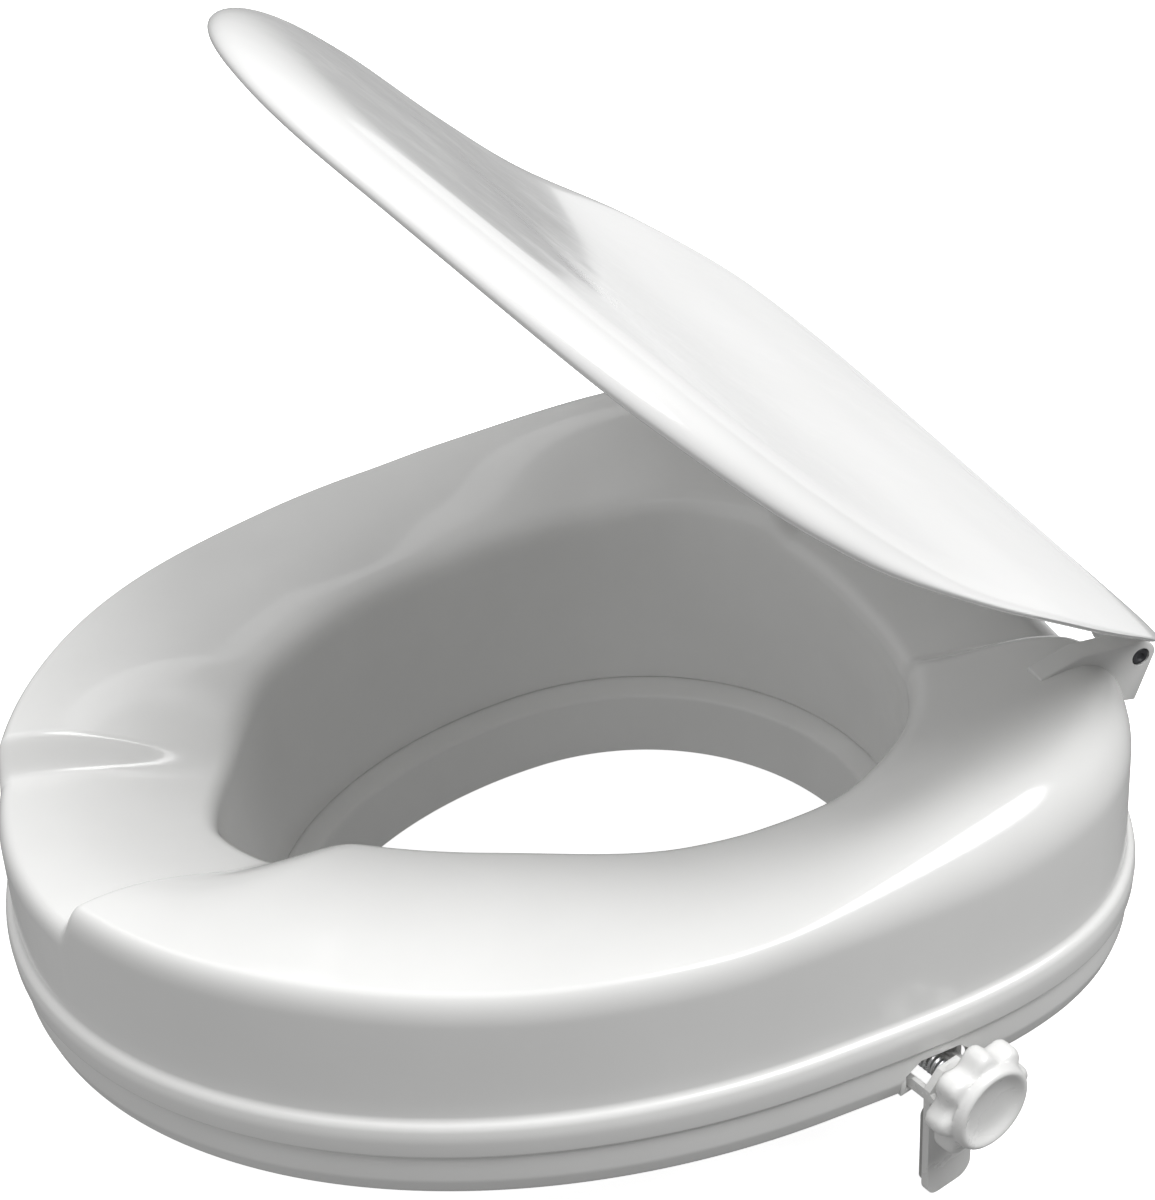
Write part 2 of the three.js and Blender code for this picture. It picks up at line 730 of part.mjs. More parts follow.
/** Hanging plate of the bracket with sloping shoulders and rounded lower corners. */
function bracketPlate() {
  const shape = new THREE.Shape();
  const { half, top, shoulder, bottom, corner } = BRACKET;
  shape.moveTo(-half + shoulder, top);
  shape.lineTo(-half, top - shoulder);
  shape.lineTo(-half, bottom + corner);
  shape.absarc(-half + corner, bottom + corner, corner, Math.PI, 1.5 * Math.PI, false);
  shape.absarc(half - corner, bottom + corner, corner, 1.5 * Math.PI, 2 * Math.PI, false);
  shape.lineTo(half, top - shoulder);
  shape.lineTo(half - shoulder, top);
  return plateX(shape, BRACKET.inner, BRACKET.outer);
}

/** Side rib that stiffens the corner between arm and plate; its sloping edge shows outside. */
function bracketRib(y0, y1) {
  const shape = new THREE.Shape();
  shape.moveTo(BRACKET.inner - 14, ARM.bottom);
  shape.lineTo(BRACKET.outer + 3.5, ARM.bottom);
  shape.lineTo(BRACKET.outer + 3.5, ARM.bottom + 2);
  shape.lineTo(BRACKET.outer - 2, BRACKET.top - BRACKET.shoulder);
  shape.lineTo(BRACKET.inner - 6, BRACKET.top - BRACKET.shoulder);
  const geometry = new THREE.ExtrudeGeometry(shape, { depth: y1 - y0, bevelEnabled: false });
  return geometry.rotateX(Math.PI / 2).translate(0, y1, 0);
}

function clampBracket() {
  const { inner, outer, half } = BRACKET;
  const arm = block(ARM.end, outer, -half + 0.2, half - 0.2, ARM.bottom, ARM.top);
  const boss = rodX(BRACKET.bossR, outer - 1, outer + BRACKET.boss, 0, SCREW_Z, 28);
  const ribs = [bracketRib(-half, -half + 2), bracketRib(half - 2, half)];
  const hole = rodX(SCREW_R + 0.4, inner - 2, outer + 10, 0, SCREW_Z);
  const fork = block(ARM.end - 1, inner - 1, -NUT.r - 0.4, NUT.r + 0.4, ARM.bottom - 0.5, ARM.top + 1);
  return combine(bracketPlate(), [arm, boss, ...ribs], [hole, fork]);
}

/** Soft cushion between the bracket and the bowl. */
function clampCushion() {
  const { thick, half, top, bottom, corner } = CUSHION;
  const side = half - corner;
  const shape = new THREE.Shape();
  shape.absarc(side, bottom + corner, corner, -Math.PI / 2, 0, false);
  shape.absarc(side, top - corner, corner, 0, Math.PI / 2, false);
  shape.absarc(-side, top - corner, corner, Math.PI / 2, Math.PI, false);
  shape.absarc(-side, bottom + corner, corner, Math.PI, 1.5 * Math.PI, false);
  return plateX(shape, BRACKET.inner - GAP - thick, BRACKET.inner - GAP, 4);
}

function clampScrew() {
  const profile = [
    new THREE.Vector2(0, SCREW_TIP),
    new THREE.Vector2(SCREW_R - 0.9, SCREW_TIP),
    new THREE.Vector2(SCREW_R, SCREW_TIP + 1),
    new THREE.Vector2(SCREW_R, SCREW_END),
    new THREE.Vector2(0, SCREW_END),
  ];
  return new THREE.LatheGeometry(profile, 24).rotateZ(-Math.PI / 2).translate(0, 0, SCREW_Z);
}

function clampWasher() {
  const x0 = BRACKET.outer + BRACKET.boss + GAP;
  const ring = rodX(8, x0, x0 + 1.1, 0, SCREW_Z, 28);
  return combine(ring, [], [rodX(SCREW_R + GAP, x0 - 1, x0 + 2, 0, SCREW_Z)]);
}

/** Hand knob: a star of pointed lobes with a round dished face on it. */
function clampKnob() {
  const star = new THREE.Shape();
  const steps = KNOB.lobes * 8;
  for (let i = 0; i < steps; i += 1) {
    const a = (i / steps) * 2 * Math.PI;
    const r = KNOB.starR + KNOB.lobe * Math.cos(a * KNOB.lobes);
    const p = new THREE.Vector2(r * Math.cos(a), SCREW_Z + r * Math.sin(a));
    if (i === 0) star.moveTo(p.x, p.y);
    else star.lineTo(p.x, p.y);
  }
  const skirt = plateX(star, KNOB.back, KNOB.back + KNOB.star);
  const base = KNOB.back + KNOB.star - 1;
  const tip = KNOB.back + KNOB.star + KNOB.face;
  const profile = [
    new THREE.Vector2(0, base),
    new THREE.Vector2(KNOB.faceR + 0.4, base),
    new THREE.Vector2(KNOB.faceR, tip - 2),
    new THREE.Vector2(KNOB.faceR - 1.6, tip),
    new THREE.Vector2(KNOB.faceR - 3.2, tip - 0.6),
    new THREE.Vector2(KNOB.faceR - 5, tip - 2),
    new THREE.Vector2(0, tip - 2.6),
  ];
  const face = new THREE.LatheGeometry(profile, 40).rotateZ(-Math.PI / 2).translate(0, 0, SCREW_Z);
  return combine(skirt, [face], [rodX(SCREW_R + GAP, KNOB.back - 1, SCREW_END + 0.4, 0, SCREW_Z)]);
}

// ---------- assembly ----------

const angles = stationAngles(6, 1.5);
add('seat_shell', seatShell(angles), PLASTIC);
add('base_ring', baseRing(angles), PLASTIC);
add('bowl_spout', ringSolid(angles, spoutSection), PLASTIC);
add('lid', swingOpen(lid()), PLASTIC);
addPair('hinge_pin', hingePin(), PIN_PLASTIC);
addPair('lid_buffer_front', swingOpen(lidBuffer(-58 * DEG, 0.4)), RUBBER);
addPair('lid_buffer_rear', swingOpen(lidBuffer(24 * DEG, 0.2)), RUBBER);

for (const [name, angle] of PAD_PLACES) {
  addPair(`rim_pad_${name}`, rimPad(onRing(angle, PAD_INSET)), RUBBER);
}
for (const [name, angle] of BASE_SCREW_PLACES) {
  const p = onRing(angle, BASE_SCREW_INSET);
  addPair(`base_screw_${name}`, panScrew(p.x, p.y, PLATE_Z, 1.8, 4, 9), STEEL);
}
addClampPair('clamp_guide', clampGuide(), CLAMP_PLASTIC);
for (const [name, side] of [['front', -1], ['rear', 1]]) {
  const screw = panScrew(GUIDE_SCREW.x, side * GUIDE_SCREW.side, PLATE_Z, 1.6, 3.4, 5.2);
  addClampPair(`guide_screw_${name}`, screw, STEEL);
}
addClampPair('clamp_nut', clampNut(), STEEL);
addClampPair('clamp_bracket', clampBracket(), CLAMP_PLASTIC);
addClampPair('clamp_cushion', clampCushion(), RUBBER);
addClampPair('clamp_screw', clampScrew(), STEEL);
addClampPair('clamp_washer', clampWasher(), STEEL);
addClampPair('clamp_knob', clampKnob(), CLAMP_PLASTIC);

export default group;
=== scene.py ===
"""Looks of the raised toilet seat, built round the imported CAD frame.

Shapes are given in millimetres and turned into metres as their meshes are made.
"""
import math

import bmesh
import bpy
from mathutils import Matrix, Vector


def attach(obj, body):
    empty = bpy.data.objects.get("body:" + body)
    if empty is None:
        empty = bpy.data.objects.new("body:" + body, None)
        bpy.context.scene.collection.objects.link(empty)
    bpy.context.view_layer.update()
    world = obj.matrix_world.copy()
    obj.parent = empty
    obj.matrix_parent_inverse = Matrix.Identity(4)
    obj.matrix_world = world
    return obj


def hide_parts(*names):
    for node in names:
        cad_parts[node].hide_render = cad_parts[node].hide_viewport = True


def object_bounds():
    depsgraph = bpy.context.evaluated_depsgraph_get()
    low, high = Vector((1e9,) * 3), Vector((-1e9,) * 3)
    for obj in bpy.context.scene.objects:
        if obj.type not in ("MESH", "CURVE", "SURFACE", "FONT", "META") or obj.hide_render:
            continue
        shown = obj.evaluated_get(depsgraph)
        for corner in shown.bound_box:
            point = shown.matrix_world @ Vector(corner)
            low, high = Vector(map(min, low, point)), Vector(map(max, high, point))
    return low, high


# GAP parts touching pieces, CLEAR is the play of a cut, PAST is how far a cutter runs beyond what it cuts,
# QUARTER_ROUND is the pull of a bezier handle that draws a quarter of a circle, and CORNER_SHARE is the most
# of a side that one rounded corner may take.
MM = 0.001
GAP = 0.3
CLEAR = 0.4
PAST = 1
QUARTER_ROUND = 0.552
CORNER_SHARE = 0.45

# Camera at the photograph's viewing angle.
CAMERA = {"azimuth": 21.55, "elevation": 34.42, "roll": -4.02, "distance": 0.92077, "lens": 75.135,
          "far": 50}
CAMERA_TARGET = (0, -0.0086, 0.11246)

# Directions round the ring in degrees.
FRONT = 270
REAR = 90

# Plan outlines: half width, length before and behind the centre, roundness of each half.
OUTER = {"half": 182.5, "front": 237, "rear": 175, "front_power": 2.0, "rear_power": 3.28, "centre": 0}
SPOUT = {"half": 101.3, "front": 137, "rear": 100, "front_power": 2.0, "rear_power": 2.0, "centre": 8}
MOUTH = {"half": 105, "front": 162, "rear": 98, "front_power": 1.6, "rear_power": 2.6, "centre": 8}

# Seat shell. Spans are the two places, in Y or in degrees off the middle, between which a shape changes.
SHELL = 3.2
SEAM_Z = 20
BEAD_INSET = 2.2
BEAD_Z = 27
BEAD_TOP_Z = 35
BEAD_ROUND = 3.2
WALL_INSET = 6
SHELL_FOOT_Z = -9
PAD_Z = 85
PAD_MOUTH_Z = 79
FRONT_RISE = {"height": 4, "span": (-90, -190)}
REAR_RISE = {"height": 15, "span": (-40, 105)}
MOUTH_RISE = {"height": 5, "front_span": (-40, -150), "rear_span": (50, 120)}
FRONT_DIP = {"crest_z": 76, "mouth_z": 63, "outside_span": (11, 13.8), "mouth_span": (9.5, 25)}
REAR_DIP = {"crest_z": 84, "mouth_z": 77, "span": (25, 33)}
WIDE_SPAN = (-20, 90)
CREST_INSET = {"front": 13, "rear": 28}
SHOULDER = {"front": 12, "rear": 24, "dip": 9}
MOUTH_ROUND = {"pad": 9, "dip": 6}
MOUTH_SLOPE = {"pad": 0.32, "dip": 0.2}
MOUTH_FALL = 1.3
TOP_PULL = 0.38
SHELL_STEPS = {"bead": 5, "wall": 3, "shoulder": 14, "top": 16, "lip": 8, "mouth": 8}

# Steps round the ring in degrees, and where it needs fine ones: degrees off the middle, plus and minus.
STEP = {"coarse": 1.25, "fine": 0.25}
FINE_FRONT = (12.5, 3)
FINE_REAR = (30.5, 6)

# Base ring and spout.
SKIRT = {"outer": 4.4, "inner": 7.6, "fold": 10, "foot": 0.5, "toe": 3, "toe_rise": 1.9, "flare": 7.5}
SKIRT_ROUND = 1.2
PLATE_Z = 6
PLATE = 3
COLLAR = 3
COLLAR_GAP_FOOT = 0.8
COLLAR_GAP_TOP = 1.4
FLANGE = {"reach": 6, "thick": 1.8}
LEDGE = 9
LEDGE_Z = -13.5
LEDGE_FILLET = 4
SPOUT_Z = -43
SPOUT_WALL = 3
SPOUT_ROUND = 1.4

# Lid and hinge. The lid is drawn closed and swung open afterwards. Its middle is measured in front of the
# hinge, and shares run from the middle (0) to the edge (1). LID_PANEL pairs distances in front of the hinge
# with the panel's height above it, LID_DROP with how far the edge lies below the panel, and LID_LIP pairs
# shares with depths under the rim. EAR_FOOT pairs Y from the hinge with a height, and the knuckle's heel and
# toe are Y and height from the hinge.
HINGE = {"y": 165, "z": 95}
LID_OPEN = math.radians(42.6)
LID = {"half": 175.5, "front": 199, "rear": 198, "front_power": 2.15, "rear_power": 2.2, "cut": 168,
       "middle": 167}
LID_THICK = 3
LID_EDGE = 0.86
LID_LIP = [(0.9985, 0.9), (0.995, 1.6), (0.990, 1.9), (0.985, 1.9)]
LID_UNDER = 0.978
LID_STEPS = {"panel": 24, "edge": 14, "round": 288}
LID_PANEL = [(-5, 10.5), (30, 13.5), (60, 14), (105, 9.5), (160, 2), (216, 2), (275, 6), (345, 8.5), (380, 5)]
LID_DROP = [(-5, 1), (60, 1.5), (150, 3), (200, 8.5), (275, 13), (345, 11.5), (380, 10)]
EAR = {"inner": 97.5, "outer": 107, "r": 6.2, "edge": 0.7}
EAR_FOOT = [(-9, 78), (-1, 76)]
WEB = {"reach": 42, "rise": 4, "peak": 0.6, "end_drop": 2}
KNUCKLE = {"inner": 84, "outer": 96.8, "r": 6, "edge": 0.6, "heel": (2.2, 9.4), "toe": (-22, 11.5)}
PIN = {"r": 3.3, "socket_r": 1.7, "inset": 2}

# Clamps, drawn along +X and then turned.
CLAMP_TURN = math.radians(13.5)
SCREW_Z = 8
SCREW_R = 3.9
SCREW_TIP = 135
SCREW_END = 203
THREAD = {"pitch": 2, "depth": 0.55, "steps": 10}
GUIDE = {"inner": 140, "outer": 178.5, "wall": 14.4, "top": 17}
NOTCH = {"half": 7.6, "top": 15.2, "side": 9, "start": 172.5, "end": 200}
SLOT = {"ahead": 9, "side": 1.1}
GUIDE_SCREW = {"x": 157, "side": 18.4, "hole_r": 2, "shank_r": 1.6, "head_r": 3.4, "length": 5.2}
KNOB = {"back": 195.5, "star": 9.5, "star_r": 19.3, "lobe": 1.8, "lobe_power": 0.8, "lobes": 8, "steps": 16,
        "face": 4, "face_r": 16.2}

# Rubber pads, base screws and lid buffers: angle round the ring in degrees, and for a buffer the share of
# the way from the crest to the mouth.
PAD_PLACES = {"front": -62, "mid": -14, "rear": 62}
PAD_INSET = 34
PAD_R = 9
BASE_SCREW_PLACES = {"front": -42, "rear": 44}
BASE_SCREW = {"inset": 30, "hole_r": 2.2, "shank_r": 1.8, "head_r": 4, "length": 9}
BUFFERS = {"front": (-58, 0.4), "rear": (24, 0.2)}
BUFFER = {"r": 5.4, "above_pad": 0.5, "into_lid": 0.4}

# Angles in degrees over which smooth shading stops, and numbers of flats round a turned piece.
SHARP = 40
SHARP_RING = 50
SHARP_KNOB = 60
SIDES = {"hole": 20, "screw": 32, "pin": 40, "round": 48}

# Studio: a soft key light (tilted from straight above towards turn), an overhead softbox, a pale card
# that the lid reflects, and room light that is brighter towards the front and the far side.
KEY = {"energy": 2.4, "softness": 40, "tilt": 32, "turn": 50}
OVERHEAD = {"height": 2.5, "size": (4, 4), "power": 46}
CARD = {"place": (-1, 1.15, -0.1), "size": (1.2, 1.2), "power": 2.3}
ROOM = {"level": 0.28, "darker_towards": (0.12, 0.36, 0), "low": -0.4, "high": 0.2}
FLOOR = {"half": 30, "below": 0.0002, "glow": 0.8}

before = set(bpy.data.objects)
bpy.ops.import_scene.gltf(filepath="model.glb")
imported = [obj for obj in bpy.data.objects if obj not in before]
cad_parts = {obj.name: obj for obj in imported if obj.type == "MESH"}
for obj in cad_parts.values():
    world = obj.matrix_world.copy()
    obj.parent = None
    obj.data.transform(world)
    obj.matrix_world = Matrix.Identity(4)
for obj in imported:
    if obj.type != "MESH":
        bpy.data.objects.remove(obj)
cad_low, cad_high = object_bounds()


# ---------- small maths ----------

def smooth(start, end, value):
    t = min(1, max(0, (value - start) / (end - start)))
    return t * t * (3 - 2 * t)


def mix(a, b, t):
    return a + (b - a) * t


def outline_radius(shape, c, s):
    """Distance of a plan outline from its centre in the direction (c, s); negative s is the front half."""
    power = shape["front_power"] if s < 0 else shape["rear_power"]
    length = shape["front"] if s < 0 else shape["rear"]
    return (abs(c / shape["half"]) ** power + abs(s / length) ** power) ** (-1 / power)


def outline_point(shape, angle):
    """Point of a plan outline in the direction angle (radians) from its centre."""
    c, s = math.cos(angle), math.sin(angle)
    r = outline_radius(shape, c, s)
    return Vector((r * c, shape["centre"] + r * s))


def bezier(p0, p1, p2, p3, count, skip_first=False):
    points = []
    for i in range(1 if skip_first else 0, count + 1):
        t = i / count
        u = 1 - t
        points.append(p0 * u ** 3 + p1 * (3 * u * u * t) + p2 * (3 * u * t * t) + p3 * t ** 3)
    return points


def rounded(corners, radius, steps=4):
    """Open line of (x, y) corners with each inner corner rounded."""
    line = [Vector(corners[0])]
    for before, corner, after in zip(corners, corners[1:], corners[2:]):
        corner, before, after = Vector(corner), Vector(before), Vector(after)
        back, on = before - corner, after - corner
        reach = min(radius, back.length * CORNER_SHARE, on.length * CORNER_SHARE)
        a = corner + back.normalized() * reach
        b = corner + on.normalized() * reach
        for i in range(steps + 1):
            t = i / steps
            line.append(a * (1 - t) ** 2 + corner * (2 * t * (1 - t)) + b * t * t)
    line.append(Vector(corners[-1]))
    return line


def height_curve(knots):
    """Smooth curve through (position, height) pairs."""
    def height(at):
        last = len(knots) - 1
        i = 0
        while i < last - 1 and at > knots[i + 1][0]:
            i += 1
        (x0, y0), (x1, y1) = knots[i], knots[i + 1]
        before, after = knots[max(0, i - 1)], knots[min(last, i + 2)]
        slope0 = (y1 - before[1]) / (x1 - before[0])
        slope1 = (after[1] - y0) / (after[0] - x0)
        span = x1 - x0
        t = (at - x0) / span
        return ((2 * t ** 3 - 3 * t ** 2 + 1) * y0 + (t ** 3 - 2 * t ** 2 + t) * span * slope0
                + (3 * t ** 2 - 2 * t ** 3) * y1 + (t ** 3 - t ** 2) * span * slope1)
    return height


# ---------- meshes ----------

def new_object(name, vertices, faces, sharp=SHARP):
    """Mesh object from millimetre vertices, smooth except where faces meet at more than sharp degrees."""
    mesh = bpy.data.meshes.new(name)
    mesh.from_pydata([tuple(v * MM) for v in vertices], [], faces)
    obj = bpy.data.objects.new(name, mesh)
    bpy.context.scene.collection.objects.link(obj)
    tidy_normals(mesh)
    shade(mesh, sharp)
    return obj


def tidy_normals(mesh):
    bm = bmesh.new()
    bm.from_mesh(mesh)
    bmesh.ops.recalc_face_normals(bm, faces=bm.faces)
    bm.to_mesh(mesh)
    bm.free()


def shade(mesh, sharp):
    mesh.shade_smooth()
    mesh.set_sharp_from_angle(angle=math.radians(sharp))


def grid_faces(rows, columns, close_rows):
    """Quads of a grid whose columns go round; rows also close if asked."""
    faces = []
    for r in range(rows if close_rows else rows - 1):
        s = (r + 1) % rows
        for c in range(columns):
            d = (c + 1) % columns
            faces.append((r * columns + c, r * columns + d, s * columns + d, s * columns + c))
    return faces


def lathe(name, profile, axis, origin, sides=SIDES["round"], sharp=SHARP, radius_at=None):
    """Solid turned about an axis and capped at both ends: profile gives (radius, distance along the axis)."""
    axis = Vector(axis).normalized()
    side = axis.orthogonal().normalized()
    other = axis.cross(side)
    vertices = []
    for radius, along in profile:
        for i in range(sides):
            a = 2 * math.pi * i / sides
            r = radius_at(radius, along, a) if radius_at else radius
            vertices.append(Vector(origin) + axis * along + (side * math.cos(a) + other * math.sin(a)) * r)
    faces = grid_faces(len(profile), sides, False)
    faces.append(tuple(range(sides)))
    faces.append(tuple(range(len(vertices) - sides, len(vertices))))
    return new_object(name, vertices, faces, sharp)


def block(x0, x1, y0, y1, z0, z1):
    """Box object used as a cutter."""
    corners = [Vector((x, y, z)) for x in (x0, x1) for y in (y0, y1) for z in (z0, z1)]
    faces = [(0, 1, 3, 2), (4, 6, 7, 5), (0, 4, 5, 1), (2, 3, 7, 6), (0, 2, 6, 4), (1, 5, 7, 3)]
    return new_object("cutter", corners, faces)


def extrude_x(name, outline, x0, x1):
    """Flat (y, z) outline pushed along X."""
    count = len(outline)
    vertices = [Vector((x, p[0], p[1])) for x in (x0, x1) for p in outline]
    faces = [(i, (i + 1) % count, count + (i + 1) % count, count + i) for i in range(count)]
    faces += [tuple(range(count)), tuple(range(2 * count - 1, count - 1, -1))]
    return new_object(name, vertices, faces)


def drop(obj):
    mesh = obj.data
    bpy.data.objects.remove(obj)
    bpy.data.meshes.remove(mesh)


def boolean(obj, tools, operation, sharp=SHARP):
    """Joins or cuts obj with tools, which are used up."""
    for tool in tools:
        modifier = obj.modifiers.new("boolean", "BOOLEAN")
        modifier.object = tool
        modifier.operation = operation
        modifier.solver = "EXACT"
    bpy.context.view_layer.update()
    evaluated = obj.evaluated_get(bpy.context.evaluated_depsgraph_get())
    mesh = bpy.data.meshes.new_from_object(evaluated)
    obj.modifiers.clear()
    old = obj.data
    obj.data = mesh
    bpy.data.meshes.remove(old)
    for tool in tools:
        drop(tool)
    shade(mesh, sharp)
    return obj


def mirror_copy(obj, name):
    """Mirror image of obj across the middle plane of the seat."""
    mesh = obj.data.copy()
    mesh.name = name
    mesh.transform(Matrix.Scale(-1, 4, Vector((1, 0, 0))))
    mesh.flip_normals()
    copy = bpy.data.objects.new(name, mesh)
    bpy.context.scene.collection.objects.link(copy)
    return copy


def bevel_edges(mesh, width, segments=3, limit=25):
    """Rounds the edges where faces meet at more than limit degrees; width is in millimetres."""
    merge, flat = 0.01 * MM, math.radians(1)
    bm = bmesh.new()
    bm.from_mesh(mesh)
    bmesh.ops.remove_doubles(bm, verts=bm.verts, dist=merge)
    bmesh.ops.dissolve_limit(bm, angle_limit=flat, verts=bm.verts, edges=bm.edges)
    sharp = [e for e in bm.edges if len(e.link_faces) == 2 and e.calc_face_angle() > math.radians(limit)]
    bmesh.ops.bevel(bm, geom=sharp, offset=width * MM, segments=segments, profile=0.5,
                    affect="EDGES", clamp_overlap=True)
    bm.to_mesh(mesh)
    bm.free()


def from_cad(node, name, width, sharp=35):
    """Piece with the CAD node's shape and rounded edges."""
    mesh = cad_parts[node].data.copy()
    mesh.name = name
    mesh.materials.clear()
    if mesh.has_custom_normals:
        for attribute in [a for a in mesh.attributes if a.name == "custom_normal"]:
            mesh.attributes.remove(attribute)
    obj = bpy.data.objects.new(name, mesh)
    bpy.context.scene.collection.objects.link(obj)
    bevel_edges(mesh, width)
    shade(mesh, sharp)
    return obj


# ---------- materials ----------

def material(name, colour, roughness):
    """Principled material and its node helpers: (material, tree, shader, coordinates)."""
    made = bpy.data.materials.new(name)
    made.use_nodes = True
    tree = made.node_tree
    shader = tree.nodes["Principled BSDF"]
    shader.inputs["Base Color"].default_value = (*colour, 1)
    shader.inputs["Roughness"].default_value = roughness
    coordinates = tree.nodes.new("ShaderNodeTexCoord").outputs["Object"]
    return made, tree, shader, coordinates


def noise(tree, coordinates, scale, detail=2, stretch=(1, 1, 1)):
    mapping = tree.nodes.new("ShaderNodeMapping")
    mapping.inputs["Scale"].default_value = stretch
    tree.links.new(coordinates, mapping.inputs["Vector"])
    node = tree.nodes.new("ShaderNodeTexNoise")
    node.inputs["Scale"].default_value = scale
    node.inputs["Detail"].default_value = detail
    tree.links.new(mapping.outputs["Vector"], node.inputs["Vector"])
    return node.outputs["Fac"]


def ramp(tree, value, low, high, start=0.35, end=0.65):
    """Colour ramp between two colours (or greys) over a part of a 0 to 1 value."""
    node = tree.nodes.new("ShaderNodeValToRGB")
    stops = node.color_ramp.elements
    for stop, position, colour in ((stops[0], start, low), (stops[1], end, high)):
        stop.position = position
        stop.color = (*colour, 1) if isinstance(colour, tuple) else (colour, colour, colour, 1)
    tree.links.new(value, node.inputs["Fac"])
    return node.outputs["Color"]


def bump(tree, shader, height, strength, distance):
    """Bumps from a height map; distance is in millimetres."""
    node = tree.nodes.new("ShaderNodeBump")
    node.inputs["Strength"].default_value = strength
    node.inputs["Distance"].default_value = distance * MM
    tree.links.new(height, node.inputs["Height"])
    tree.links.new(node.outputs["Normal"], shader.inputs["Normal"])


def add_heights(tree, first, second, share):
    """Sum of two height maps, the second weighted by share."""
    node = tree.nodes.new("ShaderNodeMath")
    node.operation = "MULTIPLY_ADD"
    node.inputs[1].default_value = share
    tree.links.new(second, node.inputs[0])
    tree.links.new(first, node.inputs[2])
    return node.outputs["Value"]


def gloss_plastic(name, colour, shadow, low, high, peel, grain):
    """Moulded plastic: cloudy gloss, fine scratches, orange peel and a trace of mould grain.

    Roughness runs from low to high, peel is the height of the bumps and grain the fine part's share.
    """
    made, tree, shader, at = material(name, colour, low)
    clouds = noise(tree, at, 14, 3)
    tree.links.new(ramp(tree, clouds, shadow, colour), shader.inputs["Base Color"])
    scratches = noise(tree, at, 260, 4, (1, 0.08, 1))
    wear = add_heights(tree, noise(tree, at, 32, 4), scratches, 0.35)
    tree.links.new(ramp(tree, wear, low, high, 0.5, 0.95), shader.inputs["Roughness"])
    height = add_heights(tree, noise(tree, at, 180, 2), noise(tree, at, 1500, 2), grain)
    bump(tree, shader, height, 0.12, peel)
    shader.inputs["IOR"].default_value = 1.5
    shader.inputs["Coat Weight"].default_value = 0.25
    shader.inputs["Coat Roughness"].default_value = 0.06
    return made


def rubber(name, colour, shadow):
    made, tree, shader, at = material(name, colour, 0.75)
    tree.links.new(ramp(tree, noise(tree, at, 90, 4), shadow, colour), shader.inputs["Base Color"])
    tree.links.new(ramp(tree, noise(tree, at, 60, 3), 0.62, 0.85), shader.inputs["Roughness"])
    bump(tree, shader, noise(tree, at, 900, 3), 0.35, 0.15)
    shader.inputs["Sheen Weight"].default_value = 0.15
    return made


def zinc_steel(name):
    made, tree, shader, at = material(name, (0.62, 0.62, 0.61), 0.3)
    shader.inputs["Metallic"].default_value = 1
    tint = noise(tree, at, 120, 3)
    tree.links.new(ramp(tree, tint, (0.52, 0.53, 0.55), (0.68, 0.67, 0.63)), shader.inputs["Base Color"])
    tree.links.new(ramp(tree, noise(tree, at, 400, 4), 0.22, 0.42), shader.inputs["Roughness"])
    bump(tree, shader, noise(tree, at, 1800, 2), 0.2, 0.05)
    return made


def dark_plastic(name):
    made, tree, shader, at = material(name, (0.035, 0.036, 0.04), 0.42)
    tint = noise(tree, at, 200, 3)
    tree.links.new(ramp(tree, tint, (0.02, 0.021, 0.024), (0.06, 0.062, 0.068)), shader.inputs["Base Color"])
    tree.links.new(ramp(tree, noise(tree, at, 500, 3), 0.35, 0.55), shader.inputs["Roughness"])
    bump(tree, shader, noise(tree, at, 1200, 2), 0.3, 0.1)
    return made


WHITE = gloss_plastic("seat_white", colour=(0.83, 0.83, 0.82), shadow=(0.80, 0.80, 0.79),
                      low=0.13, high=0.24, peel=0.12, grain=0.08)
LID_WHITE = gloss_plastic("lid_white", colour=(0.85, 0.85, 0.845), shadow=(0.82, 0.82, 0.815),
                          low=0.09, high=0.18, peel=0.08, grain=0.05)
SPOUT_WHITE = gloss_plastic("spout_white", colour=(0.81, 0.81, 0.80), shadow=(0.77, 0.77, 0.76),
                            low=0.30, high=0.46, peel=0.25, grain=0.5)
CLAMP_WHITE = gloss_plastic("clamp_white", colour=(0.84, 0.84, 0.83), shadow=(0.80, 0.80, 0.79),
                            low=0.22, high=0.36, peel=0.15, grain=0.15)
PAD_RUBBER = rubber("pad_rubber", colour=(0.42, 0.42, 0.41), shadow=(0.34, 0.34, 0.335))
BUFFER_RUBBER = rubber("buffer_rubber", colour=(0.72, 0.72, 0.70), shadow=(0.64, 0.64, 0.62))
STEEL = zinc_steel("zinc_steel")
PIN_DARK = dark_plastic("pin_dark")


def piece(obj, body, node, look):
    """The finished piece obj rides on body in place of a CAD node."""
    obj.data.materials.clear()
    obj.data.materials.append(look)
    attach(obj, body)
    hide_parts(node)
    return obj


def pair(left, right_name, body, node, look):
    """The left piece and its mirror image, both on one body."""
    right = mirror_copy(left, right_name)
    piece(left, body, node + "_left", look)
    piece(right, body, node + "_right", look)


# ---------- the ring's cross-sections ----------

def station(angle):
    """One cross-section: start on the outline, direction inwards, and the distances that matter."""
    start = outline_point(OUTER, angle)
    mouth = outline_point(MOUTH, angle)
    inward = (mouth - start).normalized()
    to_mouth = (mouth - start).dot(inward)
    to_spout = (outline_point(SPOUT, angle) - start).dot(inward)
    return {"angle": angle, "start": start, "inward": inward, "to_mouth": to_mouth,
            "to_spout": to_spout, "to_ledge": to_spout - LEDGE}


def near(degrees, middle, spread):
    """Whether a direction lies about off degrees to either side of the middle, give or take the margin."""
    off, margin = spread
    return abs(abs(degrees - middle) - off) < margin


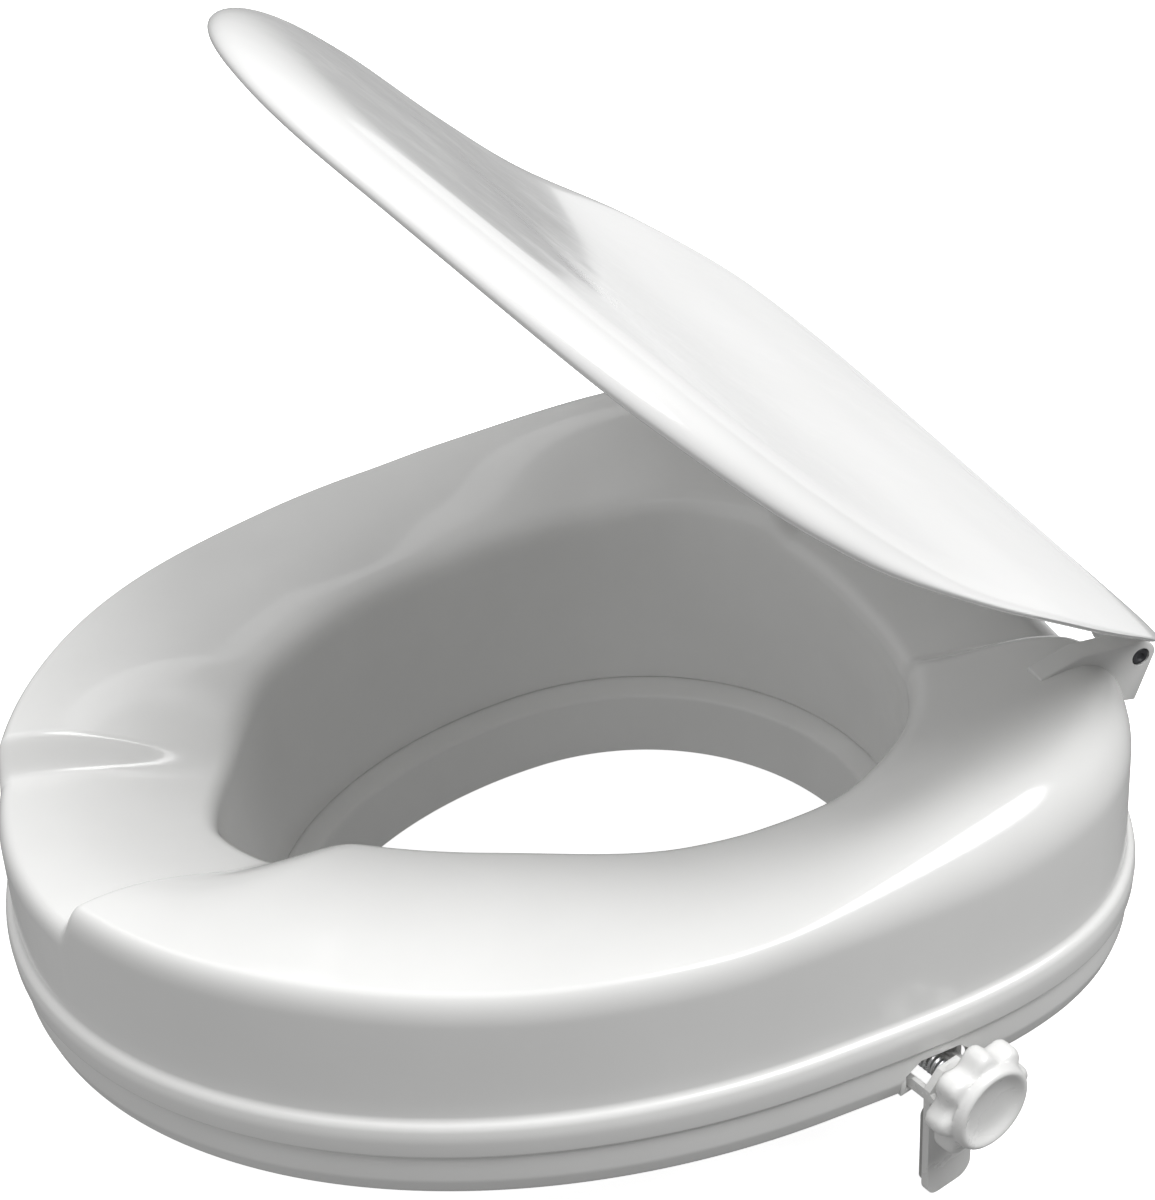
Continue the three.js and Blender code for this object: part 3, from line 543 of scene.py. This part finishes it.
def station_angles():
    """Angles round the ring, closer together where the pads end."""
    angles, a = [], 0
    while a < 360:
        angles.append(math.radians(a))
        a += STEP["fine"] if near(a, FRONT, FINE_FRONT) or near(a, REAR, FINE_REAR) else STEP["coarse"]
    return angles


ANGLES = station_angles()


def angle_from(angle, direction):
    """Degrees between an angle in radians and a direction in degrees."""
    turn = abs(math.degrees(angle) - direction) % 360
    return min(turn, 360 - turn)


def top_shape(place):
    """Heights and insets of the seat's top at one cross-section."""
    y = place["start"].y
    off_front = angle_from(place["angle"], FRONT)
    front = 1 - smooth(*FRONT_DIP["outside_span"], off_front)
    front_mouth = 1 - smooth(*FRONT_DIP["mouth_span"], off_front)
    rear = 1 - smooth(*REAR_DIP["span"], angle_from(place["angle"], REAR))
    wide = smooth(*WIDE_SPAN, y)
    pad_crest = (PAD_Z + FRONT_RISE["height"] * smooth(*FRONT_RISE["span"], y)
                 + REAR_RISE["height"] * smooth(*REAR_RISE["span"], y))
    at_ends = smooth(*MOUTH_RISE["front_span"], y) + smooth(*MOUTH_RISE["rear_span"], y)
    pad_mouth = PAD_MOUTH_Z + MOUTH_RISE["height"] * at_ends
    pad_shoulder = mix(SHOULDER["front"], SHOULDER["rear"], wide)
    mouth_round = mix(MOUTH_ROUND["pad"], MOUTH_ROUND["dip"], front_mouth)
    return {
        "crest_z": mix(mix(pad_crest, FRONT_DIP["crest_z"], front), REAR_DIP["crest_z"], rear),
        "crest_inset": mix(CREST_INSET["front"], CREST_INSET["rear"], wide),
        "shoulder": mix(pad_shoulder, SHOULDER["dip"], front),
        "mouth_z": mix(mix(pad_mouth, FRONT_DIP["mouth_z"], front_mouth), REAR_DIP["mouth_z"], rear),
        "mouth_round": mix(mouth_round, MOUTH_ROUND["dip"], rear),
        "mouth_slope": mix(MOUTH_SLOPE["pad"], MOUTH_SLOPE["dip"], max(front, rear)),
    }


def top_bend(place):
    """Control points of the top's curve from the crest down to the mouth's edge."""
    top = top_shape(place)
    crest = Vector((top["crest_inset"], top["crest_z"]))
    lip = Vector((place["to_mouth"] - top["mouth_round"], top["mouth_z"]))
    run = (lip.x - crest.x) * TOP_PULL
    return crest, crest + Vector((run, 0)), lip + Vector((-run, run * top["mouth_slope"])), lip


def shell_line(place):
    """Outside line of the shell from the seam, over the top and down the mouth."""
    top = top_shape(place)
    shoulder_z = top["crest_z"] - top["shoulder"]
    crest, first, second, lip = top_bend(place)
    fall = Vector((place["to_mouth"], top["mouth_z"] - top["mouth_round"] * MOUTH_FALL))
    bead = rounded([
        (BEAD_INSET + 3.2, SEAM_Z), (BEAD_INSET + 0.4, SEAM_Z + 0.6), (BEAD_INSET, BEAD_Z + 2),
        (BEAD_INSET + 1, BEAD_TOP_Z - 1.6), (WALL_INSET, BEAD_TOP_Z + 0.2),
        (WALL_INSET + 0.3, BEAD_TOP_Z + 8),
    ], BEAD_ROUND, SHELL_STEPS["bead"])
    drop_to_lip = (fall.x - lip.x) * QUARTER_ROUND * top["mouth_slope"]
    over_lip = Vector((mix(lip.x, fall.x, QUARTER_ROUND), lip.y - drop_to_lip))
    beside_lip = Vector((fall.x, mix(fall.y, lip.y, QUARTER_ROUND)))
    wall = Vector((WALL_INSET + 1, shoulder_z))
    above_wall = Vector((wall.x, mix(shoulder_z, crest.y, QUARTER_ROUND)))
    beside_crest = Vector((mix(crest.x, wall.x, QUARTER_ROUND), crest.y))
    foot = Vector((place["to_ledge"], SHELL_FOOT_Z))
    start = bead[-1]
    return [
        *bead,
        *bezier(start, mix(start, wall, 0.4), mix(start, wall, 0.7), wall, SHELL_STEPS["wall"], True),
        *bezier(wall, above_wall, beside_crest, crest, SHELL_STEPS["shoulder"], True),
        *bezier(crest, first, second, lip, SHELL_STEPS["top"], True),
        *bezier(lip, over_lip, beside_lip, fall, SHELL_STEPS["lip"], True),
        *bezier(fall, mix(fall, foot, 0.33), mix(fall, foot, 0.67), foot, SHELL_STEPS["mouth"], True),
    ]


def thicken(line, thickness):
    """Line moved sideways towards the hollow side."""
    moved = []
    for i, point in enumerate(line):
        along = (line[min(len(line) - 1, i + 1)] - line[max(0, i - 1)]).normalized()
        moved.append(Vector((point.x + along.y * thickness, point.y - along.x * thickness)))
    return moved


def hollow_line(place):
    """Hidden side of the shell, trimmed level at the seam and at the mouth wall's foot."""
    inner = thicken(shell_line(place), SHELL)
    inner[0].y = SEAM_Z
    inner[-1].y = SHELL_FOOT_Z
    return inner


def shell_section(place):
    return shell_line(place) + hollow_line(place)[::-1]


def mouth_wall_at(place, z):
    """Inset of the hidden side of the shell's mouth wall near its foot."""
    foot, above = hollow_line(place)[-1], hollow_line(place)[-4]
    return mix(foot.x, above.x, (z - foot.y) / (above.y - foot.y))


def collar_at(place):
    """Insets of the spout's collar: its face at the foot, its face at the top, and its outer side."""
    foot = mouth_wall_at(place, SHELL_FOOT_Z) - COLLAR_GAP_FOOT
    top = mouth_wall_at(place, PLATE_Z + PLATE) - COLLAR_GAP_TOP
    return foot, top, min(foot, top) - COLLAR


def closed_round(corners, radius):
    """Closed loop of corners with every corner rounded."""
    wrapped = corners[-1:] + corners + corners[:1]
    return rounded(wrapped, radius)[1:-1]


def base_section(place):
    plate_end = collar_at(place)[2] - GAP
    top = PLATE_Z + PLATE
    fold, foot, outer, inner = SKIRT["fold"], SKIRT["foot"], SKIRT["outer"], SKIRT["inner"]
    toe = fold - SKIRT["toe"]
    return closed_round([
        (inner, SEAM_Z - GAP), (inner, top), (plate_end, top), (plate_end, PLATE_Z), (fold, PLATE_Z),
        (fold, foot), (toe, foot), (toe - 1, foot + SKIRT["toe_rise"]), (outer, foot + SKIRT["flare"]),
        (outer, SEAM_Z - GAP),
    ], SKIRT_ROUND)


def spout_section(place):
    foot, top, outer = collar_at(place)
    ledge_top = SHELL_FOOT_Z - GAP
    flange_top = PLATE_Z - GAP
    flange_low = flange_top - FLANGE["thick"]
    flange_end = outer - FLANGE["reach"]
    spout = place["to_spout"]
    back = spout - SPOUT_WALL
    return closed_round([
        (top, PLATE_Z + PLATE), (foot, ledge_top), (place["to_ledge"] + CLEAR, ledge_top), (spout, LEDGE_Z),
        (spout, SPOUT_Z), (back, SPOUT_Z), (back, LEDGE_Z - LEDGE_FILLET), (outer, LEDGE_Z),
        (outer, flange_low), (flange_end, flange_low), (flange_end, flange_top), (outer, flange_top),
        (outer, PLATE_Z + PLATE),
    ], SPOUT_ROUND)


def ring(name, section):
    """Closed ring swept round the opening."""
    vertices, size = [], 0
    for angle in ANGLES:
        place = station(angle)
        loop = section(place)
        size = len(loop)
        for p in loop:
            plan = place["start"] + place["inward"] * p.x
            vertices.append(Vector((plan.x, plan.y, p.y)))
    return new_object(name, vertices, grid_faces(len(ANGLES), size, True), SHARP_RING)


def on_ring(degrees, inset):
    """Plan point at an inset from the outline, in a direction given in degrees."""
    place = station(math.radians(degrees))
    return place["start"] + place["inward"] * inset


# ---------- seat, base and spout ----------

def arc(centre, radius, start, end, steps):
    """Arc of (y, z) points, angles in degrees."""
    angles = [math.radians(mix(start, end, i / steps)) for i in range(steps + 1)]
    return [(centre[0] + radius * math.cos(a), centre[1] + radius * math.sin(a)) for a in angles]


def ear():
    """Hinge ear with a web that runs forward along the seat's top."""
    y, top, reach = HINGE["y"], HINGE["z"] + EAR["r"], WEB["reach"]
    outline = [(y - reach, REAR_DIP["crest_z"])]
    outline += [(y + back, z) for back, z in EAR_FOOT]
    outline += arc((y, HINGE["z"]), EAR["r"], 0, 90, 12)
    outline.append((y - reach * WEB["peak"], top + WEB["rise"] * WEB["peak"]))
    outline.append((y - reach, top - WEB["end_drop"]))
    made = extrude_x("ear", outline, EAR["inner"], EAR["outer"])
    bevel_edges(made.data, EAR["edge"])
    return made


def pin_bore(inner, outer):
    r = PIN["r"] + GAP
    return lathe("bore", [(r, inner - PAST), (r, outer + PAST)], (1, 0, 0), (0, HINGE["y"], HINGE["z"]))


def both_sides(tool):
    """A tool and its mirror image."""
    return [tool, mirror_copy(tool, tool.name + "_mirrored")]


def build_seat():
    seat = ring("seat_moulding", shell_section)
    boolean(seat, both_sides(ear()), "UNION")
    boolean(seat, both_sides(pin_bore(EAR["inner"], EAR["outer"])), "DIFFERENCE")
    piece(seat, "seat", "seat_shell", WHITE)


def turned(obj):
    """Turns a clamp part from along +X to where the clamp points."""
    obj.data.transform(Matrix.Rotation(CLAMP_TURN, 4, "Z"))
    return obj


def plate_hole(x, y, radius):
    profile = [(radius, 0), (radius, PLATE + 2 * PAST)]
    return lathe("hole", profile, (0, 0, 1), (x, y, PLATE_Z - PAST), SIDES["hole"])


def clamp_cuts():
    """Room for a clamp along +X: its guide, the skirt's opening, the screw's slot and two screw holes."""
    side = GUIDE["wall"] + CLEAR
    slot = SCREW_R + SLOT["side"]
    notch = [(-side, -PAST), (side, -PAST), (side, NOTCH["side"]), (NOTCH["half"], NOTCH["top"]),
             (-NOTCH["half"], NOTCH["top"]), (-side, NOTCH["side"])]
    cuts = [
        block(GUIDE["inner"] - CLEAR, GUIDE["outer"] + CLEAR, -side, side, -PAST, GUIDE["top"] + CLEAR),
        extrude_x("notch", notch, NOTCH["start"], NOTCH["end"]),
        block(SCREW_TIP - SLOT["ahead"], GUIDE["inner"], -slot, slot, PLATE_Z - PAST, PLATE_Z + PLATE + PAST),
    ]
    for sign in (-1, 1):
        cuts.append(plate_hole(GUIDE_SCREW["x"], sign * GUIDE_SCREW["side"], GUIDE_SCREW["hole_r"]))
    return cuts


def build_base():
    base = ring("base_moulding", base_section)
    tools = [tool for cut in clamp_cuts() for tool in both_sides(turned(cut))]
    for degrees in BASE_SCREW_PLACES.values():
        p = on_ring(degrees, BASE_SCREW["inset"])
        tools += both_sides(plate_hole(p.x, p.y, BASE_SCREW["hole_r"]))
    boolean(base, tools, "DIFFERENCE")
    piece(base, "seat", "base_ring", WHITE)


def build_spout():
    piece(ring("spout_moulding", spout_section), "seat", "bowl_spout", SPOUT_WHITE)


# ---------- lid ----------

lid_panel = height_curve(LID_PANEL)
lid_drop = height_curve(LID_DROP)


def lid_outline(angle):
    """Edge of the closed lid: x, and distance in front of the hinge."""
    c, s = math.cos(angle), math.sin(angle)
    r = outline_radius(LID, c, s)
    if s > 0:
        r = min(r, LID["cut"] / s)
    return r * c, LID["middle"] - r * s


def lid_top(share, along):
    """Height of the closed lid's top above the hinge, at a share of the way from middle to edge."""
    edge = min(1, max(0, (share - LID_EDGE) / (1 - LID_EDGE)))
    return lid_panel(along) - lid_drop(along) * (1 - math.sqrt(1 - edge * edge))


def lid_point(angle, share, depth):
    """Point of the closed lid at a depth below its top."""
    x, edge_along = lid_outline(angle)
    along = mix(LID["middle"], edge_along, share)
    return Vector((x * share, HINGE["y"] - along, HINGE["z"] + lid_top(share, along) - depth))


def lid_rows():
    """(share, depth below the top) of the rows from the middle out over the top, and back underneath."""
    panel, edge = LID_STEPS["panel"], LID_STEPS["edge"]
    shares = [(i / panel) * LID_EDGE for i in range(1, panel + 1)]
    shares += [LID_EDGE + (1 - LID_EDGE) * math.sin(math.pi / 2 * i / edge) for i in range(1, edge + 1)]
    over = [(share, 0) for share in shares]
    under = [(share, LID_THICK) for share in reversed(shares) if share < LID_UNDER]
    return over, under


def swing_open(obj):
    """Swings a part of the closed lid to the angle it rests at."""
    pivot = Vector((0, HINGE["y"], HINGE["z"])) * MM
    turn = Matrix.Translation(pivot) @ Matrix.Rotation(-LID_OPEN, 4, "X") @ Matrix.Translation(-pivot)
    obj.data.transform(turn)
    return obj


def lid_shell():
    columns = LID_STEPS["round"]
    around = [2 * math.pi * i / columns for i in range(columns)]
    over, under = lid_rows()
    rows = [[lid_point(angle, share, depth) for angle in around] for share, depth in over]
    rim = rows[-1]
    for share, depth in LID_LIP:
        inside = [lid_point(angle, share, 0) for angle in around]
        rows.append([Vector((p.x, p.y, edge.z - depth)) for p, edge in zip(inside, rim)])
    rows += [[lid_point(angle, share, depth) for angle in around] for share, depth in under]
    vertices = [v for row in rows for v in row]
    faces = grid_faces(len(rows), columns, False)
    for row, depth in ((0, 0), (len(rows) - 1, LID_THICK)):
        centre = len(vertices)
        vertices.append(lid_point(0, 0, depth))
        for i in range(columns):
            faces.append((centre, row * columns + i, row * columns + (i + 1) % columns))
    return new_object("lid_moulding", vertices, faces, SHARP_RING)


def knuckle():
    """Half round under the hinge axis that rises into the lid."""
    y, z = HINGE["y"], HINGE["z"]
    outline = arc((y, z), KNUCKLE["r"], 180, 360, 20)
    outline += [(y + back, z + up) for back, up in (KNUCKLE["heel"], KNUCKLE["toe"])]
    made = extrude_x("knuckle", outline, KNUCKLE["inner"], KNUCKLE["outer"])
    bevel_edges(made.data, KNUCKLE["edge"])
    return made


def build_lid():
    lid = lid_shell()
    boolean(lid, both_sides(knuckle()), "UNION", SHARP_RING)
    boolean(lid, both_sides(pin_bore(KNUCKLE["inner"], KNUCKLE["outer"])), "DIFFERENCE", SHARP_RING)
    piece(swing_open(lid), "lid_body", "lid", LID_WHITE)


def lid_share(x, along):
    """Share of the way from the lid's middle to its edge at a point."""
    angle = math.atan2(LID["middle"] - along, x)
    edge_x, edge_along = lid_outline(angle)
    return math.hypot(x, LID["middle"] - along) / math.hypot(edge_x, LID["middle"] - edge_along)


def buffer(name, degrees, share):
    """Domed buffer that reaches from the closed lid's underside to just above the pad."""
    place = station(math.radians(degrees))
    steps = 10
    on_top = bezier(*top_bend(place), steps)[round(share * steps)]
    plan = place["start"] + place["inward"] * on_top.x
    along = HINGE["y"] - plan.y
    r = BUFFER["r"]
    outer = lid_share(plan.x + r, along)
    lid_z = min(lid_top(outer, along - r), lid_top(outer, along + r))
    top = HINGE["z"] + lid_z - LID_THICK + BUFFER["into_lid"]
    low = on_top.y + BUFFER["above_pad"]
    dome = [(0.2, low), (2.8, low + 0.1), (r - 0.6, low + 2.4), (r, top)]
    return lathe(name, rounded(dome, 2.2, 6), (0, 0, 1), (plan.x, plan.y, 0), SIDES["pin"])


def build_buffers():
    for end, (degrees, share) in BUFFERS.items():
        left = swing_open(buffer("buffer_" + end + "_left", degrees, share))
        right_name = "buffer_" + end + "_right"
        pair(left, right_name, "lid_body", "lid_buffer_" + end, BUFFER_RUBBER)


def build_pins():
    """Hinge pins with a chamfer at each end and a shallow socket in the outer one."""
    r, socket_r = PIN["r"], PIN["socket_r"]
    inner, outer = KNUCKLE["inner"] + PIN["inset"], EAR["outer"]
    profile = rounded([
        (0.05, inner), (r - 0.4, inner), (r, inner + 0.8), (r, outer - 0.8), (r - 0.5, outer),
        (socket_r, outer), (socket_r - 0.3, outer - 0.9), (0.05, outer - 0.9),
    ], 0.35, 3)
    left = lathe("pin_left", profile, (1, 0, 0), (0, HINGE["y"], HINGE["z"]), SIDES["pin"])
    pair(left, "pin_right", "seat", "hinge_pin", PIN_DARK)


# ---------- underside ----------

def build_rim_pads():
    for end, degrees in PAD_PLACES.items():
        p = on_ring(degrees, PAD_INSET)
        profile = rounded([
            (0.1, 0), (4.2, 0), (4.6, 0.5), (5.2, 0.5), (5.6, 0), (PAD_R - 0.4, 0), (PAD_R, 1.4),
            (PAD_R, PLATE_Z - GAP), (0.1, PLATE_Z - GAP),
        ], 0.8, 4)
        left = lathe("rim_pad_" + end + "_l", profile, (0, 0, 1), (p.x, p.y, 0))
        pair(left, "rim_pad_" + end + "_r", "seat", "rim_pad_" + end, PAD_RUBBER)


def pan_screw(name, x, y, size):
    """Pan-head screw driven upwards into the plate, with a cross recess in its head."""
    shank_r, head_r, length = size["shank_r"], size["head_r"], size["length"]
    profile = rounded([
        (0.05, -2.4), (head_r * 0.62, -2.2), (head_r, -1.1), (head_r, -GAP), (shank_r, -GAP),
        (shank_r, length - 1), (0.05, length),
    ], 0.5, 3)
    screw = lathe(name, profile, (0, 0, 1), (x, y, PLATE_Z), SIDES["screw"])
    long, short = head_r * 0.55, 0.42
    low, high = PLATE_Z - 3, PLATE_Z - 1.2
    cross = [block(x - long, x + long, y - short, y + short, low, high),
             block(x - short, x + short, y - long, y + long, low, high)]
    return boolean(screw, cross, "DIFFERENCE")


def build_screws():
    for end, degrees in BASE_SCREW_PLACES.items():
        name = "base_screw_" + end
        p = on_ring(degrees, BASE_SCREW["inset"])
        left = pan_screw(name + "_l", p.x, p.y, BASE_SCREW)
        pair(left, name + "_r", "seat", name, STEEL)
    for end, sign in (("front", -1), ("rear", 1)):
        name = "guide_screw_" + end
        left = turned(pan_screw(name + "_l", GUIDE_SCREW["x"], sign * GUIDE_SCREW["side"], GUIDE_SCREW))
        pair(left, name + "_r", "seat", name, STEEL)


# ---------- clamps ----------

def knob_profile():
    """Points from the bore round the star to the face's middle.

    Each is (radius, distance from the knob's back, False), or for the star (distance outside its edge,
    distance from the knob's back, True).
    """
    depth, face_r = KNOB["star"], KNOB["face_r"]
    tip = depth + KNOB["face"]
    bore_r = SCREW_R + GAP
    bore_end = SCREW_END + CLEAR - KNOB["back"]
    bore = [(0.2, bore_end), (bore_r, bore_end), (bore_r, 0.4), (SCREW_R + 0.9, 0), (9.5, 0)]
    star = [(-6, 0.2), (-2.2, 0), (-0.8, 0.5), (-0.1, 1.6), (0, 3), (0, depth - 3.4),
            (-0.3, depth - 1.8), (-1.1, depth - 0.6), (-2.3, depth)]
    face = [(face_r + 0.6, depth + 0.4), (face_r + 0.2, depth + 1.2), (face_r, tip - 1.8),
            (face_r - 0.5, tip - 0.6), (face_r - 1.3, tip), (face_r - 2.3, tip - 0.05),
            (face_r - 3.3, tip - 0.7), (face_r - 4.6, tip - 1.7), (face_r - 6.5, tip - 2.4),
            (face_r - 10, tip - 2.8), (0.2, tip - 2.9)]
    parts = ((bore, False), (star, True), (face, False))
    return [(r, x, on_star) for points, on_star in parts for r, x in points]


def star_radius(angle, along, outside):
    """The star knob's lobed radius, which never falls under the face."""
    wave = math.cos(angle * KNOB["lobes"])
    reach = KNOB["star_r"] + KNOB["lobe"] * (wave if wave < 0 else wave ** KNOB["lobe_power"])
    return max(reach + outside, KNOB["face_r"] - 0.6 + 0.05 * along)


def knob(name):
    sides = KNOB["lobes"] * KNOB["steps"]
    rows = knob_profile()
    vertices = []
    for radius, along, on_star in rows:
        for i in range(sides):
            a = 2 * math.pi * i / sides
            r = star_radius(a, along, radius) if on_star else radius
            vertices.append(Vector((KNOB["back"] + along, r * math.cos(a), SCREW_Z + r * math.sin(a))))
    faces = grid_faces(len(rows), sides, False)
    faces += [tuple(range(sides)), tuple(range(len(vertices) - sides, len(vertices)))]
    made = new_object(name, vertices, faces, SHARP_KNOB)
    bm = bmesh.new()
    bm.from_mesh(made.data)
    caps = [f for f in bm.faces if len(f.verts) > 4]
    bmesh.ops.poke(bm, faces=caps)
    bm.to_mesh(made.data)
    bm.free()
    shade(made.data, SHARP_KNOB)
    return made


def thread(radius, along, angle):
    """Radius of the clamp screw: a rounded thread on its shaft, none on its ends."""
    if radius < SCREW_R:
        return radius
    turn = (along / THREAD["pitch"] - angle / (2 * math.pi)) % 1
    return radius - THREAD["depth"] * (0.5 + 0.5 * math.cos(2 * math.pi * turn)) ** 2


def clamp_screw(name):
    low, high = SCREW_TIP + 1, SCREW_END - 1
    steps = round((high - low) / THREAD["pitch"] * THREAD["steps"])
    shaft = [(SCREW_R, mix(low, high, i / steps)) for i in range(steps + 1)]
    tip = [(0.1, SCREW_TIP), (SCREW_R - 0.9, SCREW_TIP)]
    end = [(SCREW_R - 0.5, SCREW_END), (0.1, SCREW_END)]
    return lathe(name, tip + shaft + end, (1, 0, 0), (0, 0, SCREW_Z), SIDES["screw"], SHARP_RING, thread)


def build_clamps():
    for kind, make, look, slot in (
        ("clamp_knob", knob, CLAMP_WHITE, "clamp_plastic"),
        ("clamp_screw", clamp_screw, STEEL, "zinc_steel"),
    ):
        left = turned(make(kind + "_l"))
        right = mirror_copy(left, kind + "_r")
        piece(left, "knob_left", kind + "_left", look)
        piece(right, "knob_right", kind + "_right", look)
    for side in ("left", "right"):
        for node, body, width, look, slot in (
            ("clamp_guide", "seat", 0.5, CLAMP_WHITE, "clamp_plastic"),
            ("clamp_nut", "seat", 0.35, STEEL, "zinc_steel"),
            ("clamp_bracket", "bracket_" + side, 0.6, CLAMP_WHITE, "clamp_plastic"),
            ("clamp_cushion", "bracket_" + side, 0.8, PAD_RUBBER, "soft_rubber"),
            ("clamp_washer", "knob_" + side, 0.25, STEEL, "zinc_steel"),
        ):
            obj = from_cad(f"{node}_{side}", f"{node}_{side[0]}", width)
            piece(obj, body, f"{node}_{side}", look)


# ---------- studio ----------

def add_camera():
    azimuth, elevation, roll = (math.radians(CAMERA[k]) for k in ("azimuth", "elevation", "roll"))
    back = Vector((math.cos(elevation) * math.cos(azimuth), -math.cos(elevation) * math.sin(azimuth),
                   math.sin(elevation)))
    right = Vector((math.sin(azimuth), math.cos(azimuth), 0))
    up = back.cross(right)
    turned_right = right * math.cos(roll) + up * math.sin(roll)
    turned_up = up * math.cos(roll) - right * math.sin(roll)
    rotation = Matrix((turned_right, turned_up, back)).transposed().to_4x4()
    data = bpy.data.cameras.new("camera")
    data.lens = CAMERA["lens"]
    data.clip_end = CAMERA["far"]
    camera = bpy.data.objects.new("camera", data)
    bpy.context.scene.collection.objects.link(camera)
    camera.matrix_world = Matrix.Translation(Vector(CAMERA_TARGET) + back * CAMERA["distance"]) @ rotation
    bpy.context.scene.camera = camera


def add_floor():
    """Pale floor just under the object; it is seen, but neither lights the object nor reflects in it."""
    half = FLOOR["half"]
    corners = [(-half, -half, 0), (half, -half, 0), (half, half, 0), (-half, half, 0)]
    mesh = bpy.data.meshes.new("floor")
    mesh.from_pydata(corners, [], [(0, 1, 2, 3)])
    floor = bpy.data.objects.new("floor", mesh)
    floor.location.z = cad_low.z - FLOOR["below"]
    bpy.context.scene.collection.objects.link(floor)
    made, tree, shader, at = material("floor_white", (0.93, 0.93, 0.93), 0.8)
    tree.links.new(ramp(tree, noise(tree, at, 3, 2), 0.92, 0.94), shader.inputs["Base Color"])
    shader.inputs["Specular IOR Level"].default_value = 0.1
    shader.inputs["Emission Color"].default_value = (1, 1, 1, 1)
    shader.inputs["Emission Strength"].default_value = FLOOR["glow"]
    mesh.materials.append(made)
    floor.visible_diffuse = False
    floor.visible_glossy = False


def add_area(name, place, target, size, power):
    """Soft rectangular light at place, facing target."""
    data = bpy.data.lights.new(name, "AREA")
    data.shape = "RECTANGLE"
    data.size, data.size_y = size
    data.energy = power
    light = bpy.data.objects.new(name, data)
    light.location = place
    light.rotation_mode = "QUATERNION"
    light.rotation_quaternion = (Vector(target) - Vector(place)).to_track_quat("-Z", "Y")
    bpy.context.scene.collection.objects.link(light)


def add_sun():
    """Soft key light from above, the sitter's left and the rear."""
    sun = bpy.data.lights.new("key", "SUN")
    sun.energy = KEY["energy"]
    sun.angle = math.radians(KEY["softness"])
    key = bpy.data.objects.new("key", sun)
    tilt, turn = math.radians(KEY["tilt"]), math.radians(KEY["turn"])
    towards = Vector((math.sin(tilt) * math.cos(turn), math.sin(tilt) * math.sin(turn), math.cos(tilt)))
    key.rotation_mode = "QUATERNION"
    key.rotation_quaternion = (-towards).to_track_quat("-Z", "Y")
    bpy.context.scene.collection.objects.link(key)


def add_room_light():
    """Light from all round: even from below, uneven from side to side at the horizon and above."""
    world = bpy.data.worlds.new("studio")
    world.use_nodes = True
    tree = world.node_tree
    direction = tree.nodes.new("ShaderNodeTexCoord").outputs["Generated"]
    split = tree.nodes.new("ShaderNodeSeparateXYZ")
    tree.links.new(direction, split.inputs["Vector"])
    height = tree.nodes.new("ShaderNodeMapRange")
    height.inputs["From Min"].default_value = ROOM["low"]
    height.inputs["From Max"].default_value = ROOM["high"]
    tree.links.new(split.outputs["Z"], height.inputs["Value"])
    aside = tree.nodes.new("ShaderNodeVectorMath")
    aside.operation = "DOT_PRODUCT"
    aside.inputs[1].default_value = [-part for part in ROOM["darker_towards"]]
    tree.links.new(direction, aside.inputs[0])
    level = tree.nodes.new("ShaderNodeMath")
    level.operation = "MULTIPLY_ADD"
    level.use_clamp = True
    tree.links.new(aside.outputs["Value"], level.inputs[0])
    tree.links.new(height.outputs["Result"], level.inputs[1])
    level.inputs[2].default_value = ROOM["level"]
    tree.links.new(level.outputs["Value"], tree.nodes["Background"].inputs["Strength"])
    tree.nodes["Background"].inputs["Color"].default_value = (1, 1, 1, 1)
    bpy.context.scene.world = world


def add_lights():
    add_sun()
    add_area("overhead", (0, 0, OVERHEAD["height"]), (0, 0, 0), OVERHEAD["size"], OVERHEAD["power"])
    x, y, z = CARD["place"]
    add_area("lid_card", (x, y, z), (0, y, z), CARD["size"], CARD["power"])
    add_room_light()
    bpy.context.scene.view_settings.view_transform = "Standard"


add_camera()
build_seat()
build_base()
build_spout()
build_lid()
build_buffers()
build_pins()
build_rim_pads()
build_screws()
build_clamps()
add_floor()
add_lights()
